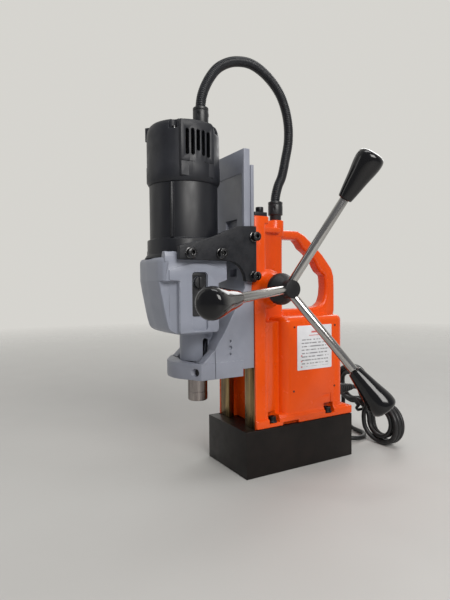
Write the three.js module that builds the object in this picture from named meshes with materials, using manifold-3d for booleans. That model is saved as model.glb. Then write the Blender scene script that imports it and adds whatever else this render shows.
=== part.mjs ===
// A magnetic drill press: electromagnet base, cast stand with a carry handle, dovetail carriage with the
// drill motor, and a three-spoke feed wheel. Millimetres, +Z up, the feed wheel on +X and the drill on -Y.
// The origin is the centre of the magnet's lower face.
import * as THREE from "three";
import { mergeVertices } from "three/addons/utils/BufferGeometryUtils.js";
import Module from "manifold-3d";

const wasm = await Module();
wasm.setup();

// ---- Driving dimensions ----

const GAP = 0.3; // between pieces that touch on the real machine

const magnet = { width: 107.6, length: 190, height: 64, grooveWidth: 13, grooveDepth: 34 };

const stand = {
  halfWidth: 50,
  front: -77.7,
  back: 97,
  base: magnet.height + GAP,
  flangeTop: 76,
  columnBack: -61.5,
  top: 354,
  channelFront: -66,
  channelFloor: -61,
  wall: 6,
};

const box = { front: -30, back: 84, top: 215, radius: 10 };

const spine = { halfWidth: 13, back: -1.5, glandY: -7.5, bossBase: 331.4, top: 356 };

const slide = { halfWidth: 47.3, front: -92, stepY: -82.8, back: -78.2, base: 149, top: 442, stepTop: 420.7 };

const arm = { halfWidth: 48.8, webHalfWidth: 47.8, base: 139.5, ringTop: 161, split: -137.6 };
const clamp = { screwX: 40.5, screwZ: 149.5, seatY: -156 };

const spindleY = -140;
const motorY = -158;
const motor = {
  radius: 45.4,
  flangeRadius: 48.9,
  halfWidth: 47.2,
  base: 296.8,
  floor: 301,
  flangeTop: 322,
  caseTop: 392,
  capTop: 470.6,
  capRadius: 48.7,
};
const gearbox = { halfWidth: 45, front: -213, back: -117, lowerBack: -130, base: 199, top: 296.5 };
const neck = { radius: 24.1, base: 140.5 };
const driftSlot = { halfWidth: 3.8, low: 162, high: 191 };
const arbor = { radius: 13.5, bore: 9.5, base: 104.6 };
const lug = { inner: 33, front: -205, back: -188, screwX: 40, screwY: -199 };
const bracket = { inner: 47.6, outer: 55.5 };

const feed = { y: -55, z: 255.5, pitchRadius: 12, shaftRadius: 7.5 };
const hub = { start: 75, apex: 91.6, end: 104.5, radius: 20.9, noseRadius: 11.8 };
const spoke = {
  radius: 5.7,
  tilt: 29.4,
  start: 10.5,
  neck: 131.5,
  tip: 192.8,
  phases: [71, 184, 297.8],
};

const conduitRadius = 7;
const cord = { radius: 3.6, exit: { x: 28, y: 84, z: 97 } };

// ---- Finishes: colour, roughness, metalness ----

const ORANGE_PAINT = ["#e2541f", 0.35, 0];
const GREY_PAINT = ["#a9afb9", 0.5, 0.1];
const GREY_SLIDE = ["#8f97a3", 0.5, 0.2];
const BLACK_PAINT = ["#141313", 0.35, 0];
const BLACK_CASTING = ["#1f2022", 0.7, 0];
const BLACK_PLASTIC = ["#191a1c", 0.45, 0];
const BLACK_GLOSS = ["#0c0c0d", 0.12, 0];
const BLACK_OXIDE = ["#232425", 0.4, 0.8];
const STEEL = ["#b9bbbd", 0.28, 1];
const BRASS = ["#b59a5f", 0.45, 0.9];
const COPPER = ["#b0643a", 0.4, 0.9];
const RESIN = ["#2c2a26", 0.5, 0];
const RUBBER = ["#161617", 0.6, 0];
const PAPER = ["#eeeeec", 0.5, 0];
const RED_PLASTIC = ["#b3201b", 0.4, 0];
const GREEN_PLASTIC = ["#1f7a3a", 0.4, 0];

function piece(name, geometry, [colour, roughness, metalness]) {
  const material = new THREE.MeshStandardMaterial({ color: colour, roughness, metalness });
  const mesh = new THREE.Mesh(geometry, material);
  mesh.name = name;
  return mesh;
}

function placed(mesh, x, y, z) {
  mesh.position.set(x, y, z);
  return mesh;
}

// ---- Shapes ----

function block(x0, x1, y0, y1, z0, z1) {
  const geometry = new THREE.BoxGeometry(x1 - x0, y1 - y0, z1 - z0);
  return geometry.translate((x0 + x1) / 2, (y0 + y1) / 2, (z0 + z1) / 2);
}

function outline(points) {
  return new THREE.Shape(points.map(([u, v]) => new THREE.Vector2(u, v)));
}

function roundedRectangle(u0, u1, v0, v1, radius) {
  const shape = new THREE.Shape();
  shape.absarc(u1 - radius, v1 - radius, radius, 0, Math.PI / 2);
  shape.absarc(u0 + radius, v1 - radius, radius, Math.PI / 2, Math.PI);
  shape.absarc(u0 + radius, v0 + radius, radius, Math.PI, 1.5 * Math.PI);
  shape.absarc(u1 - radius, v0 + radius, radius, 1.5 * Math.PI, 2 * Math.PI);
  shape.closePath();
  return shape;
}

// An outline in plan (x, y), raised from z0 to z1.
function raised(shape, z0, z1, arcSteps = 5) {
  const options = { depth: z1 - z0, bevelEnabled: false, curveSegments: arcSteps };
  return new THREE.ExtrudeGeometry(shape, options).translate(0, 0, z0);
}

// Turns an extrusion of a side view (y, z), so that its depth runs along X.
function sideOn(geometry) {
  const [alongX, alongY, alongZ] = [0, 1, 2].map((axis) => new THREE.Vector3().setComponent(axis, 1));
  return geometry.applyMatrix4(new THREE.Matrix4().makeBasis(alongY, alongZ, alongX));
}

// An outline seen from the side (y, z), carried from x0 to x1.
function carried(shape, x0, x1, arcSteps = 5) {
  const options = { depth: x1 - x0, bevelEnabled: false, curveSegments: arcSteps };
  return sideOn(new THREE.ExtrudeGeometry(shape, options)).translate(x0, 0, 0);
}

// A profile of [radius, height] pairs from the lower end to the upper one, turned round the vertical.
function turned(profile, sides = 24) {
  const points = profile.map(([radius, height]) => new THREE.Vector2(radius, height));
  return new THREE.LatheGeometry(points, sides).rotateX(Math.PI / 2);
}

function disc(radius, z0, z1, sides = 24) {
  return turned(
    [
      [0, z0],
      [radius, z0],
      [radius, z1],
      [0, z1],
    ],
    sides,
  );
}

// The same turned shape lying along X, its upper end towards +X.
function lyingAlongX(geometry) {
  return geometry.rotateY(Math.PI / 2);
}

function solidOf(geometry) {
  const bare = geometry.clone();
  bare.deleteAttribute("normal");
  bare.deleteAttribute("uv");
  const merged = mergeVertices(bare, 1e-4);
  return new wasm.Manifold(
    new wasm.Mesh({
      numProp: 3,
      vertProperties: merged.attributes.position.array,
      triVerts: new Uint32Array(merged.index.array),
    }),
  );
}

function geometryOf(solid) {
  const mesh = solid.getMesh();
  const geometry = new THREE.BufferGeometry();
  geometry.setAttribute("position", new THREE.BufferAttribute(mesh.vertProperties, 3));
  geometry.setIndex(new THREE.BufferAttribute(mesh.triVerts, 1));
  geometry.computeVertexNormals();
  return geometry;
}

function fused(...geometries) {
  return geometryOf(wasm.Manifold.union(geometries.map(solidOf)));
}

function cut(base, ...tools) {
  return geometryOf(wasm.Manifold.difference([base, ...tools].map(solidOf)));
}

function common(...geometries) {
  return geometryOf(wasm.Manifold.intersection(geometries.map(solidOf)));
}

// The same closed shape on the other side of the machine's middle plane.
function mirrored(geometry) {
  const flipped = (geometry.index ? geometry.toNonIndexed() : geometry.clone()).scale(-1, 1, 1);
  const position = flipped.getAttribute("position");
  for (let corner = 0; corner < position.count; corner += 3) {
    const next = corner + 1;
    const [x, y, z] = [position.getX(corner), position.getY(corner), position.getZ(corner)];
    position.setXYZ(corner, position.getX(next), position.getY(next), position.getZ(next));
    position.setXYZ(next, x, y, z);
  }
  return flipped;
}

// A gear's outline, its first tooth pointing at the angle `phase`. The teeth are thin, to leave backlash.
function gearOutline(teeth, module, phase) {
  const pitchRadius = (teeth * module) / 2;
  const flank = [
    [pitchRadius - 1.2 * module, -0.27],
    [pitchRadius + 0.9 * module, -0.11],
    [pitchRadius + 0.9 * module, 0.11],
    [pitchRadius - 1.2 * module, 0.27],
  ];
  const points = [];
  for (let tooth = 0; tooth < teeth; tooth += 1) {
    for (const [radius, share] of flank) {
      const angle = phase + ((tooth + share) * 2 * Math.PI) / teeth;
      points.push([radius * Math.cos(angle), radius * Math.sin(angle)]);
    }
  }
  return outline(points);
}

// A cap screw standing on +Z at its own origin: washer, round head and hexagon socket.
function capScrew(headRadius, headHeight, washerRadius) {
  const socket = headRadius * 0.5;
  const body = turned(
    [
      [0, 0],
      [washerRadius, 0],
      [washerRadius, 1.6],
      [headRadius, 1.6],
      [headRadius, 1.4 + headHeight],
      [headRadius - 0.6, 1.6 + headHeight],
      [0, 1.6 + headHeight],
    ],
    14,
  );
  const hexagon = disc(socket, headHeight * 0.45, headHeight + 3, 6);
  return cut(body, hexagon);
}

// ---- Magnet base ----

function racetrack(halfWidth, halfLength, holeHalfWidth, holeHalfLength, z0, z1) {
  const shape = roundedRectangle(-halfWidth, halfWidth, -halfLength, halfLength, 12);
  const hole = roundedRectangle(-holeHalfWidth, holeHalfWidth, -holeHalfLength, holeHalfLength, 5);
  shape.holes.push(hole);
  return raised(shape, z0, z1, 3);
}

function magnetBase() {
  const halfWidth = magnet.width / 2;
  const halfLength = magnet.length / 2;
  const outer = [halfWidth - 16, halfLength - 18];
  const inner = outer.map((size) => size - magnet.grooveWidth);
  const groove = racetrack(...outer, ...inner, -1, magnet.grooveDepth);
  const body = cut(block(-halfWidth, halfWidth, -halfLength, halfLength, 0, magnet.height), groove);
  const snugOuter = outer.map((size) => size - GAP);
  const snugInner = inner.map((size) => size + GAP);
  const group = new THREE.Group();
  group.add(piece("magnet_block", body, BLACK_PAINT));
  group.add(piece("magnet_potting", racetrack(...snugOuter, ...snugInner, 0.6, 8), RESIN));
  const coil = racetrack(...snugOuter, ...snugInner, 8 + GAP, magnet.grooveDepth - GAP);
  group.add(piece("magnet_coil", coil, COPPER));
  return group;
}

// ---- Stand ----

// Where the flange bolts sit: the recess round each is open to the side of the flange.
const flangeBolts = { x: 46.4, rows: [-48, 52], seat: 70, recessRadius: 8.6 };

function columnSolid() {
  const { halfWidth, front, columnBack, base, top } = stand;
  const plan = outline([
    [-halfWidth, front],
    [halfWidth, front],
    [halfWidth, columnBack],
    [halfWidth - 4, columnBack + 4],
    [34, -53],
    [spine.halfWidth + 8, -46],
    [spine.halfWidth + 2, -37],
    [spine.halfWidth, -26],
    [spine.halfWidth, spine.back - 5],
    [spine.halfWidth - 5, spine.back],
    [-spine.halfWidth + 5, spine.back],
    [-spine.halfWidth, spine.back - 5],
    [-spine.halfWidth, -26],
    [-spine.halfWidth - 2, -37],
    [-spine.halfWidth - 8, -46],
    [-34, -53],
    [-halfWidth + 4, columnBack + 4],
    [-halfWidth, columnBack],
  ]);
  const rim = raised(roundedRectangle(-halfWidth, halfWidth, front, columnBack + 9.5, 4), top - 9, top);
  const shelf = block(-20, 20, columnBack, -12, top - 18, top - 10);
  const glandBoss = raised(roundedRectangle(-14, 14, -21, 1, 8), spine.bossBase, spine.top, 4);
  return fused(raised(plan, base, top), rim, shelf, glandBoss);
}

// The carry handle seen from the side, a closed band from the gland boss to the top of the box.
function handleSolid() {
  const band = outline([
    [-12, 342],
    [28, 342],
    [41, 336],
    [52, 327.5],
    [76, 307.5],
    [95.5, 285.5],
    [99.8, 273],
    [100.5, 256],
    [100.5, 219],
    [96, 204],
    [82, 196],
    [-6, 196],
    [-6, 224],
    [44, 224],
    [68, 226.5],
    [77, 233],
    [81, 244],
    [82.3, 258],
    [81, 274],
    [71.5, 280.3],
    [66, 288],
    [61.5, 296.5],
    [47, 309],
    [37, 315.5],
    [32.5, 322],
    [26, 328.5],
    [-12, 328.5],
  ]);
  const halfDepth = 7;
  const bevel = 4;
  const flat = new THREE.ExtrudeGeometry(band, {
    depth: 2 * halfDepth,
    bevelEnabled: true,
    bevelThickness: bevel,
    bevelSize: bevel,
    bevelOffset: -bevel,
    bevelSegments: 1,
  });
  return sideOn(flat).translate(-halfDepth, 0, 0);
}

function boxSolid() {
  const side = roundedRectangle(box.front, box.back, 60, box.top, box.radius);
  const plan = roundedRectangle(-stand.halfWidth + 1, stand.halfWidth - 1, box.front - 14, box.back, 14);
  return common(carried(side, -60, 60, 4), raised(plan, stand.base, box.top + 1, 4));
}

function feedBoss(side) {
  const profile = [
    [0, stand.halfWidth - 10],
    [21, stand.halfWidth - 10],
    [21, stand.halfWidth + 1],
    [19, stand.halfWidth + 4],
    [19, hub.start - GAP],
    [0, hub.start - GAP],
  ];
  const boss = lyingAlongX(turned(profile, 28)).translate(0, feed.y, feed.z);
  return side > 0 ? boss : lyingAlongX(disc(17, -stand.halfWidth - 7, 0, 28)).translate(0, feed.y, feed.z);
}

// The column runs into the box along two hollows, one on each side.
function webPlan() {
  const right = [
    [49.2, stand.columnBack - 0.5],
    [48, -54],
    [45, -46],
    [41, -38.5],
    [37, -32],
    [37, box.front + 4],
  ];
  return outline([...right, ...right.map(([x, y]) => [-x, y]).reverse()]);
}

function standHousing() {
  const { halfWidth, front, back, base, flangeTop, channelFront, channelFloor, wall } = stand;
  const flange = raised(roundedRectangle(-53, 53, front, back, 3), base, flangeTop, 3);
  const web = raised(webPlan(), base, box.top - 6);
  const whole = fused(flange, columnSolid(), handleSolid(), boxSolid(), web, feedBoss(1), feedBoss(-1));

  const gibChannel = block(-46.9, 46.9, front - 5, channelFront, base - 5, stand.top + 9);
  const tailChannel = block(-27.2, 27.2, front - 5, channelFloor, base - 5, stand.top + 9);
  const pinionRoom = lyingAlongX(disc(15, -10, 10, 24)).translate(0, feed.y, feed.z);
  const shaftBore = lyingAlongX(disc(feed.shaftRadius + GAP, -80, 80, 28)).translate(0, feed.y, feed.z);
  const inner = halfWidth - wall;
  const room = block(-inner, inner, box.front + wall, box.back - wall, 84, box.top - wall);
  const { front: near, back: far, low, high } = panel;
  const window = block(-60, 1 - inner, near + 6, far - 6, low + 6, high - 6);
  const conduitWay = disc(5, box.top - 12, spine.top + 4, 12).translate(0, spine.glandY, 0);
  const { exit } = cord;
  const cordWay = disc(7.8, -20, 20, 12).rotateX(-Math.PI / 2).translate(exit.x, exit.y, exit.z);
  const cableNotch = block(halfWidth - 2, 60, -34, -6, base - 5, base + 4.5);
  const relief = block(halfWidth - 3, 60, 42, 57, 79, 103);
  const reliefRib = block(halfWidth - 4, 60, 39, 54, 79, 98);
  const cuts = [gibChannel, tailChannel, pinionRoom, shaftBore, room, window];
  cuts.push(conduitWay, cordWay, cableNotch);
  for (const side of [-1, 1]) {
    for (const y of flangeBolts.rows) {
      const recess = disc(flangeBolts.recessRadius, flangeBolts.seat, flangeTop + 22, 16);
      cuts.push(recess.translate(side * flangeBolts.x, y, 0));
    }
  }
  return piece("stand_housing", cut(whole, ...cuts, cut(relief, reliefRib)), ORANGE_PAINT);
}

function gib(side) {
  const plan = outline(
    [
      [22, stand.front + GAP],
      [46.6, stand.front + GAP],
      [46.6, stand.channelFront - GAP],
      [27, stand.channelFront - GAP],
    ].map(([x, y]) => [side * x, y]),
  );
  return piece(side > 0 ? "gib_right" : "gib_left", raised(plan, stand.base, stand.top - 2), BRASS);
}

function flangeBolt(name, x, y) {
  return placed(piece(name, capScrew(5.6, 6.6, 7), BLACK_OXIDE), x, y, flangeBolts.seat + GAP);
}

function columnCap() {
  const group = new THREE.Group();
  const plate = raised(roundedRectangle(-42, 42, -72.5, -50.3, 3), stand.top + GAP, stand.top + 6.7, 2);
  const tailWay = block(-27.4, 27.4, -80, stand.channelFront + 2, stand.top, stand.top + 9);
  group.add(piece("column_cap", cut(plate, tailWay), BLACK_OXIDE));
  for (const [name, side] of [
    ["cap_plate_screw_right", 1],
    ["cap_plate_screw_left", -1],
  ]) {
    const screw = piece(name, capScrew(5.5, 6, 5.5), BLACK_OXIDE);
    group.add(placed(screw, side * 32, -57.5, stand.top + 7));
  }
  return group;
}

// A threaded cable gland standing on +Z at its own origin, with a bore for the conduit above the floor.
function gland(height) {
  return turned(
    [
      [5, 0],
      [8.6, 0],
      [8.6, 7.6],
      [10.8, 8],
      [10.8, height - 5],
      [10.2, height - 4.6],
      [10.8, height - 4.2],
      [10.8, height],
      [conduitRadius + GAP, height],
      [conduitRadius + GAP, 8],
      [5, 8],
      [5, 0],
    ],
    18,
  );
}

const glands = {
  motor: { y: -131, z: motor.capTop + GAP, height: 31 },
  stand: { y: spine.glandY, z: spine.top + GAP, height: 28 },
};

// The conduit's whole route between the two glands, in the machine's middle plane, as [y, z].
function conduitCurve() {
  const start = glands.motor.z + 8 + GAP;
  const end = glands.stand.z + 8 + GAP;
  const route = [
    [glands.motor.y, start],
    [glands.motor.y, start + 14],
    [glands.motor.y, start + 27],
    [-127.5, 523],
    [-118, 543],
    [-105, 560],
    [-89, 571],
    [-72, 577],
    [-52, 578.5],
    [-33, 573],
    [-14, 561],
    [2, 544],
    [12, 523],
    [17, 500],
    [17, 476],
    [12, 452],
    [5, 424],
    [-2.5, 408],
    [glands.stand.y, end + 25],
    [glands.stand.y, end + 12],
    [glands.stand.y, end],
  ];
  return new THREE.CatmullRomCurve3(route.map(([y, z]) => new THREE.Vector3(0, y, z)));
}

function ring(radius, sides) {
  const points = [];
  for (let side = 0; side < sides; side += 1) {
    const angle = (2 * Math.PI * side) / sides;
    points.push([radius * Math.cos(angle), radius * Math.sin(angle)]);
  }
  return outline(points);
}

function tube(curve, radius, sides, steps) {
  return new THREE.ExtrudeGeometry(ring(radius, sides), { steps, extrudePath: curve, bevelEnabled: false });
}

function standFittings() {
  const group = new THREE.Group();
  const fitting = piece("stand_gland", gland(glands.stand.height), BLACK_PLASTIC);
  group.add(placed(fitting, 0, glands.stand.y, glands.stand.z));
  group.add(piece("conduit", tube(conduitCurve(), conduitRadius, 10, 34), BLACK_PLASTIC));
  const label = carried(roundedRectangle(-6, 58, 138, 202, 1), 49 + GAP, 49 + 0.7, 2);
  group.add(piece("rating_label", label, PAPER));
  return group;
}

// ---- Controls on the -X side ----

const panel = { face: -52.5, front: -22, back: 74, low: 88, high: 205 };
const controls = {
  rocker: { y: 26, z: 128, halfLength: 15, halfWidth: 9 },
  start: { y: 50, z: 170 },
  stop: { y: 2, z: 170 },
  travel: 3,
};

function controlPanel() {
  const { rocker, start, stop } = controls;
  const plate = carried(
    roundedRectangle(panel.front, panel.back, panel.low, panel.high, 5),
    panel.face,
    -stand.halfWidth - GAP + 1,
    3,
  );
  const room = 0.4;
  const window = block(
    -60,
    -40,
    rocker.y - rocker.halfWidth - room,
    rocker.y + rocker.halfWidth + room,
    rocker.z - rocker.halfLength - room,
    rocker.z + rocker.halfLength + room,
  );
  const holes = [start, stop].map((at) => lyingAlongX(disc(9.4, -60, -40, 24)).translate(0, at.y, at.z));
  return piece("control_panel", cut(plate, window, ...holes), BLACK_PLASTIC);
}

// A rocker on an axis along Y: its face is a shallow V, pressed in at one end.
function rockerSwitch() {
  const { rocker } = controls;
  const face = outline([
    [-rocker.halfLength + 0.6, 4.6],
    [0, 2.4],
    [rocker.halfLength - 0.6, 1.4],
    [rocker.halfLength - 0.6, -2],
    [0, -8],
    [-rocker.halfLength + 0.6, -2],
  ]);
  const length = 2 * rocker.halfWidth - 0.4;
  const body = new THREE.ExtrudeGeometry(face, { depth: length, bevelEnabled: false });
  const upright = new THREE.Matrix4().makeBasis(
    new THREE.Vector3(0, 0, 1),
    new THREE.Vector3(-1, 0, 0),
    new THREE.Vector3(0, -1, 0),
  );
  body.applyMatrix4(upright).translate(panel.face, rocker.y + length / 2, rocker.z);
  return piece("magnet_switch", body, RED_PLASTIC);
}

function pushButton(name, at, finish) {
  const button = turned(
    [
      [0, -9],
      [8.8, -9],
      [8.8, 4],
      [7.6, 5],
      [0, 5],
    ],
    24,
  );
  return placed(piece(name, button.rotateY(-Math.PI / 2), finish), panel.face, at.y, at.z);
}

// ---- Power cord ----

const relief = { length: 36 };

// The hank stands behind the base, leaning to -X, held at its waist by a tie. It is drawn upright round the
// tie and then leant over: two round lobes, one above the tie and one below it, joined by the waist.
const hank = { x: 8, y: 172, z: 59.4, lean: 0.95, halfThickness: 14.8, halfWaist: 15 };
const lobe = { reach: 43.5, radius: 34 };

function strainRelief() {
  const { length } = relief;
  const ribs = 4;
  const profile = [
    [cord.radius + GAP, -3],
    [7.5, -3],
    [7.5, GAP],
    [11, GAP],
    [11, 5],
  ];
  for (let rib = 0; rib < ribs; rib += 1) {
    const start = 5 + (rib * (length - 7)) / ribs;
    const radius = 8.6 - rib * 0.8;
    profile.push([radius - 1.6, start + 0.4], [radius - 1.6, start + 2.4]);
    profile.push([radius, start + 2.8], [radius, start + 6.4]);
  }
  profile.push([cord.radius + 1, length], [cord.radius + GAP, length], [cord.radius + GAP, -3]);
  const body = turned(profile, 14).rotateX(-Math.PI / 2);
  return placed(piece("strain_relief", body, RUBBER), cord.exit.x, cord.exit.y, cord.exit.z);
}

function cordTube(name, route, steps) {
  const curve = new THREE.CatmullRomCurve3(route.map(([x, y, z]) => new THREE.Vector3(x, y, z)));
  return piece(name, tube(curve, cord.radius, 8, steps), RUBBER);
}

function leadRoute() {
  const { x, y, z } = cord.exit;
  const end = hank.y - hank.halfThickness - GAP;
  return [
    [x, y + relief.length + GAP, z],
    [x, y + relief.length + 6, z - 0.1],
    [x - 0.5, 135, 94.5],
    [x - 1.5, 143.5, 88.5],
    [x - 3, 148.5, 79.5],
    [x - 5, 150.5, 70.5],
    [x - 6.2, 152.4, 64.5],
    [x - 6.5, end - 1.6, 61.6],
    [x - 6.5, end, 61.5],
  ];
}

const plug = { x: -46, y: 119, z: 19.5, radius: 18.5, length: 34 };

function tailRoute() {
  return [
    [-57.5, 183, 61.5],
    [-57.5, 183, 48],
    [-57.2, 183, 36],
    [-54.5, 183, 21],
    [-46.6, 183, 10.6],
    [-36.6, 183, 5.4],
    [-27.3, 183, 4],
    [-6.5, 180, 4],
    [4.5, 171.6, 4],
    [10.9, 159.3, 4.1],
    [10.9, 142.7, 5.2],
    [4.5, 130.4, 8],
    [-6.5, 122, 13],
    [-18.9, plug.y, 18.6],
    [plug.x + 18 + GAP, plug.y, plug.z],
  ];
}

function hankLobe(v) {
  const depth = 2 * hank.halfThickness;
  const shape = new THREE.Shape();
  shape.absarc(0, v, lobe.radius, 0, 2 * Math.PI, false);
  const flat = new THREE.ExtrudeGeometry(shape, { depth, bevelEnabled: false, curveSegments: 28 });
  return flat.rotateX(Math.PI / 2).translate(0, hank.halfThickness, 0);
}

function cordOnStand() {
  const { halfThickness, halfWaist } = hank;
  const waist = block(-halfWaist, halfWaist, -halfThickness, halfThickness, -20, 20);
  const body = fused(hankLobe(lobe.reach), hankLobe(-lobe.reach), waist);
  const [outWide, outDeep] = [halfWaist + 2, halfThickness + 2];
  const band = block(-outWide, outWide, -outDeep, outDeep, -2.6, 2.6);
  const [inWide, inDeep] = [halfWaist + GAP, halfThickness + GAP];
  const hole = block(-inWide, inWide, -inDeep, inDeep, -4, 4);
  const bundle = new THREE.Group();
  bundle.add(piece("cord_hank", body, RUBBER), piece("cord_tie", cut(band, hole), RUBBER));
  bundle.position.set(hank.x, hank.y, hank.z);
  bundle.rotation.y = -hank.lean;
  const group = new THREE.Group();
  group.add(bundle, cordTube("power_cord", leadRoute(), 8), cordTube("cord_tail", tailRoute(), 22));
  return group;
}

// A two-pin earthed plug lying on its side, its pins towards -X.
function powerPlug() {
  const { radius, length } = plug;
  const shell = turned(
    [
      [0, -18],
      [6.5, -18],
      [7.5, -4],
      [13, 0],
      [radius, 6],
      [radius, length],
      [0, length],
    ],
    28,
  );
  const pins = [-9.5, 9.5].map((across) => disc(2.4, length - 1, length + 19, 12).translate(0, across, 0));
  const bore = disc(cord.radius + GAP, -20, -12, 12);
  const body = cut(fused(shell, ...pins), bore).rotateY(-Math.PI / 2);
  return placed(piece("power_plug", body, BLACK_PLASTIC), plug.x, plug.y, plug.z);
}

// ---- Carriage ----

const RACK_MODULE = 2;

function dovetailPlan() {
  return outline([
    [-20.85, slide.back - 1],
    [20.85, slide.back - 1],
    [26.6, stand.channelFront - 0.5],
    [-26.6, stand.channelFront - 0.5],
  ]);
}

// The carriage's lower end seen from the side: a step over the magnet, and a curved web up to the slide.
function armSide() {
  const { split, base } = arm;
  return outline([
    [split, base],
    [-96, base],
    [-96, slide.base],
    [slide.back, slide.base],
    [slide.back, 262],
    [-89, 262],
    [-95, 252],
    [-101, 241],
    [-107, 230],
    [-113, 219],
    [-120, 206],
    [-127, 194.5],
    [-133, 186],
    [split, 178],
  ]);
}

function slideCasting() {
  const { halfWidth, front, stepY, back, base, top, stepTop } = slide;
  const whole = fused(
    block(-halfWidth, halfWidth, front, stepY, base, top),
    block(-halfWidth, halfWidth, stepY - 1, back, base, stepTop),
    block(-stand.halfWidth, stand.halfWidth, stepY, back, 339.4, stepTop),
    raised(dovetailPlan(), base, stepTop),
    carried(armSide(), -arm.webHalfWidth, arm.webHalfWidth),
    block(-arm.halfWidth, arm.halfWidth, arm.split, -96, arm.base, arm.ringTop),
  );
  const cuts = [
    block(-8, 8, -73.3, -60, base - 5, top + 5),
    disc(neck.radius + GAP, arm.base - 5, 215, 32).translate(0, spindleY, 0),
    block(-41, 41, front - 5, front + 1, 300, 410),
    block(-4, 26, front - 5, front + 6, 338, 350.5),
    block(8, 26, front - 5, front + 6, 272.5, 283.5),
  ];
  for (const [y, z, radius] of [
    [-114.8, 187.4, 1.7],
    [-115.2, 178.8, 2.8],
    [-115.2, 170.5, 1.7],
  ]) {
    cuts.push(lyingAlongX(disc(radius, arm.halfWidth - 4, 60, 12)).translate(0, y, z));
  }
  return piece("slide_casting", cut(whole, ...cuts), GREY_SLIDE);
}

function feedRack() {
  const pitchLine = feed.y - feed.pitchRadius;
  const pitch = Math.PI * RACK_MODULE;
  const root = pitchLine - 1.2 * RACK_MODULE;
  const tip = pitchLine + 0.9 * RACK_MODULE;
  const [first, last] = [-12, 14];
  const points = [
    [-73, feed.z + (last + 1) * pitch],
    [-73, feed.z + first * pitch],
    [root, feed.z + first * pitch],
  ];
  for (let tooth = first; tooth <= last; tooth += 1) {
    const middle = feed.z + (tooth + 0.5) * pitch;
    points.push([root, middle - 0.27 * pitch], [tip, middle - 0.11 * pitch]);
    points.push([tip, middle + 0.11 * pitch], [root, middle + 0.27 * pitch]);
  }
  points.push([root, feed.z + (last + 1) * pitch]);
  return piece("feed_rack", carried(outline(points), -7.6, 7.6), STEEL);
}

function clampCap() {
  const { halfWidth, webHalfWidth, base, ringTop, split } = arm;
  const back = split - 0.6;
  const right = [
    [halfWidth, back],
    [halfWidth, -158.5],
    [45.5, -161],
    [33, -168.5],
    [19, -177],
    [8, -180.4],
  ];
  const left = right.map(([x, y]) => [-x, y]).reverse();
  const ringBody = raised(outline([...right, ...left]), base, ringTop);
  const rib = outline([
    [-157, ringTop - 1],
    [back, ringTop - 1],
    [back, 177.5],
  ]);
  const whole = fused(ringBody, carried(rib, 32, webHalfWidth), carried(rib, -webHalfWidth, -32));
  const bore = disc(neck.radius + GAP, base - 5, 185, 32).translate(0, spindleY, 0);
  const seats = [-1, 1].map((side) => {
    const seat = disc(5.2, 0, 30, 20).rotateX(Math.PI / 2);
    return seat.translate(side * clamp.screwX, clamp.seatY, clamp.screwZ);
  });
  return piece("clamp_cap", cut(whole, bore, ...seats), GREY_PAINT);
}

function clampScrew(name, side) {
  const screw = piece(name, capScrew(4.4, 3.4, 4.6), BLACK_OXIDE);
  screw.rotation.x = Math.PI / 2;
  return placed(screw, side * clamp.screwX, clamp.seatY - GAP, clamp.screwZ);
}

const bracketScrews = [
  [-175.9, 301.4],
  [-132.4, 301.8],
  [-82.5, 324.7],
  [-82.5, 272.9],
];

function sideBracket(side) {
  const shape = new THREE.Shape();
  shape.moveTo(-190.5, 293.8);
  shape.lineTo(-190.3, 310);
  shape.lineTo(-143.6, 322.7);
  shape.lineTo(-106.8, 338.2);
  shape.lineTo(slide.back, 338.9);
  shape.lineTo(slide.back, 264.4);
  shape.lineTo(-95.7, 266.2);
  shape.absarc(-121.6, 266.2, 26.2, 0, Math.PI / 2, false);
  shape.closePath();
  const group = new THREE.Group();
  const [low, high] = side > 0 ? [bracket.inner, bracket.outer] : [-bracket.outer, -bracket.inner];
  const name = side > 0 ? "right" : "left";
  group.add(piece(`bracket_${name}`, carried(shape, low, high, 6), BLACK_CASTING));
  for (const [index, [y, z]] of bracketScrews.entries()) {
    const screw = piece(`bracket_screw_${name}_${index + 1}`, capScrew(6, 7.4, 6.9), BLACK_OXIDE);
    screw.rotation.y = (side * Math.PI) / 2;
    group.add(placed(screw, side * (bracket.outer + GAP), y, z));
  }
  return group;
}

// ---- Gearbox ----

const selector = { y: -158, z: 265, radius: 7.8, recess: 2.6 };

function gearboxShell() {
  const { halfWidth, front, back, lowerBack, base, top } = gearbox;
  const half = [
    [halfWidth, back],
    [halfWidth, -201],
    [38, -206.5],
    [24, -210.7],
    [8, front + 0.4],
  ];
  const plan = outline([...half, ...half.map(([x, y]) => [-x, y]).reverse()]);
  const side = outline([
    [back, top],
    [back, 266],
    [lowerBack, 266],
    [lowerBack, 207],
    [-138, base],
    [-190, base],
    [-198.5, 203.5],
    [-203, 216],
    [-208, 240],
    [front, 268],
    [front, top - 5],
    [front + 2.5, top],
  ]);
  return common(raised(plan, base - 1, top), carried(side, -halfWidth - 1, halfWidth + 1));
}

function cheekPad() {
  return outline([
    [-186, 201],
    [-133, 201],
    [-131, 206],
    [-131, 264],
    [-118.5, 268],
    [-118.5, 281],
    [-130, 286],
    [-148, 289],
    [-165, 289.5],
    [-184, 286],
    [-200, 281],
    [-200, 268],
    [-186, 268],
  ]);
}

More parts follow.
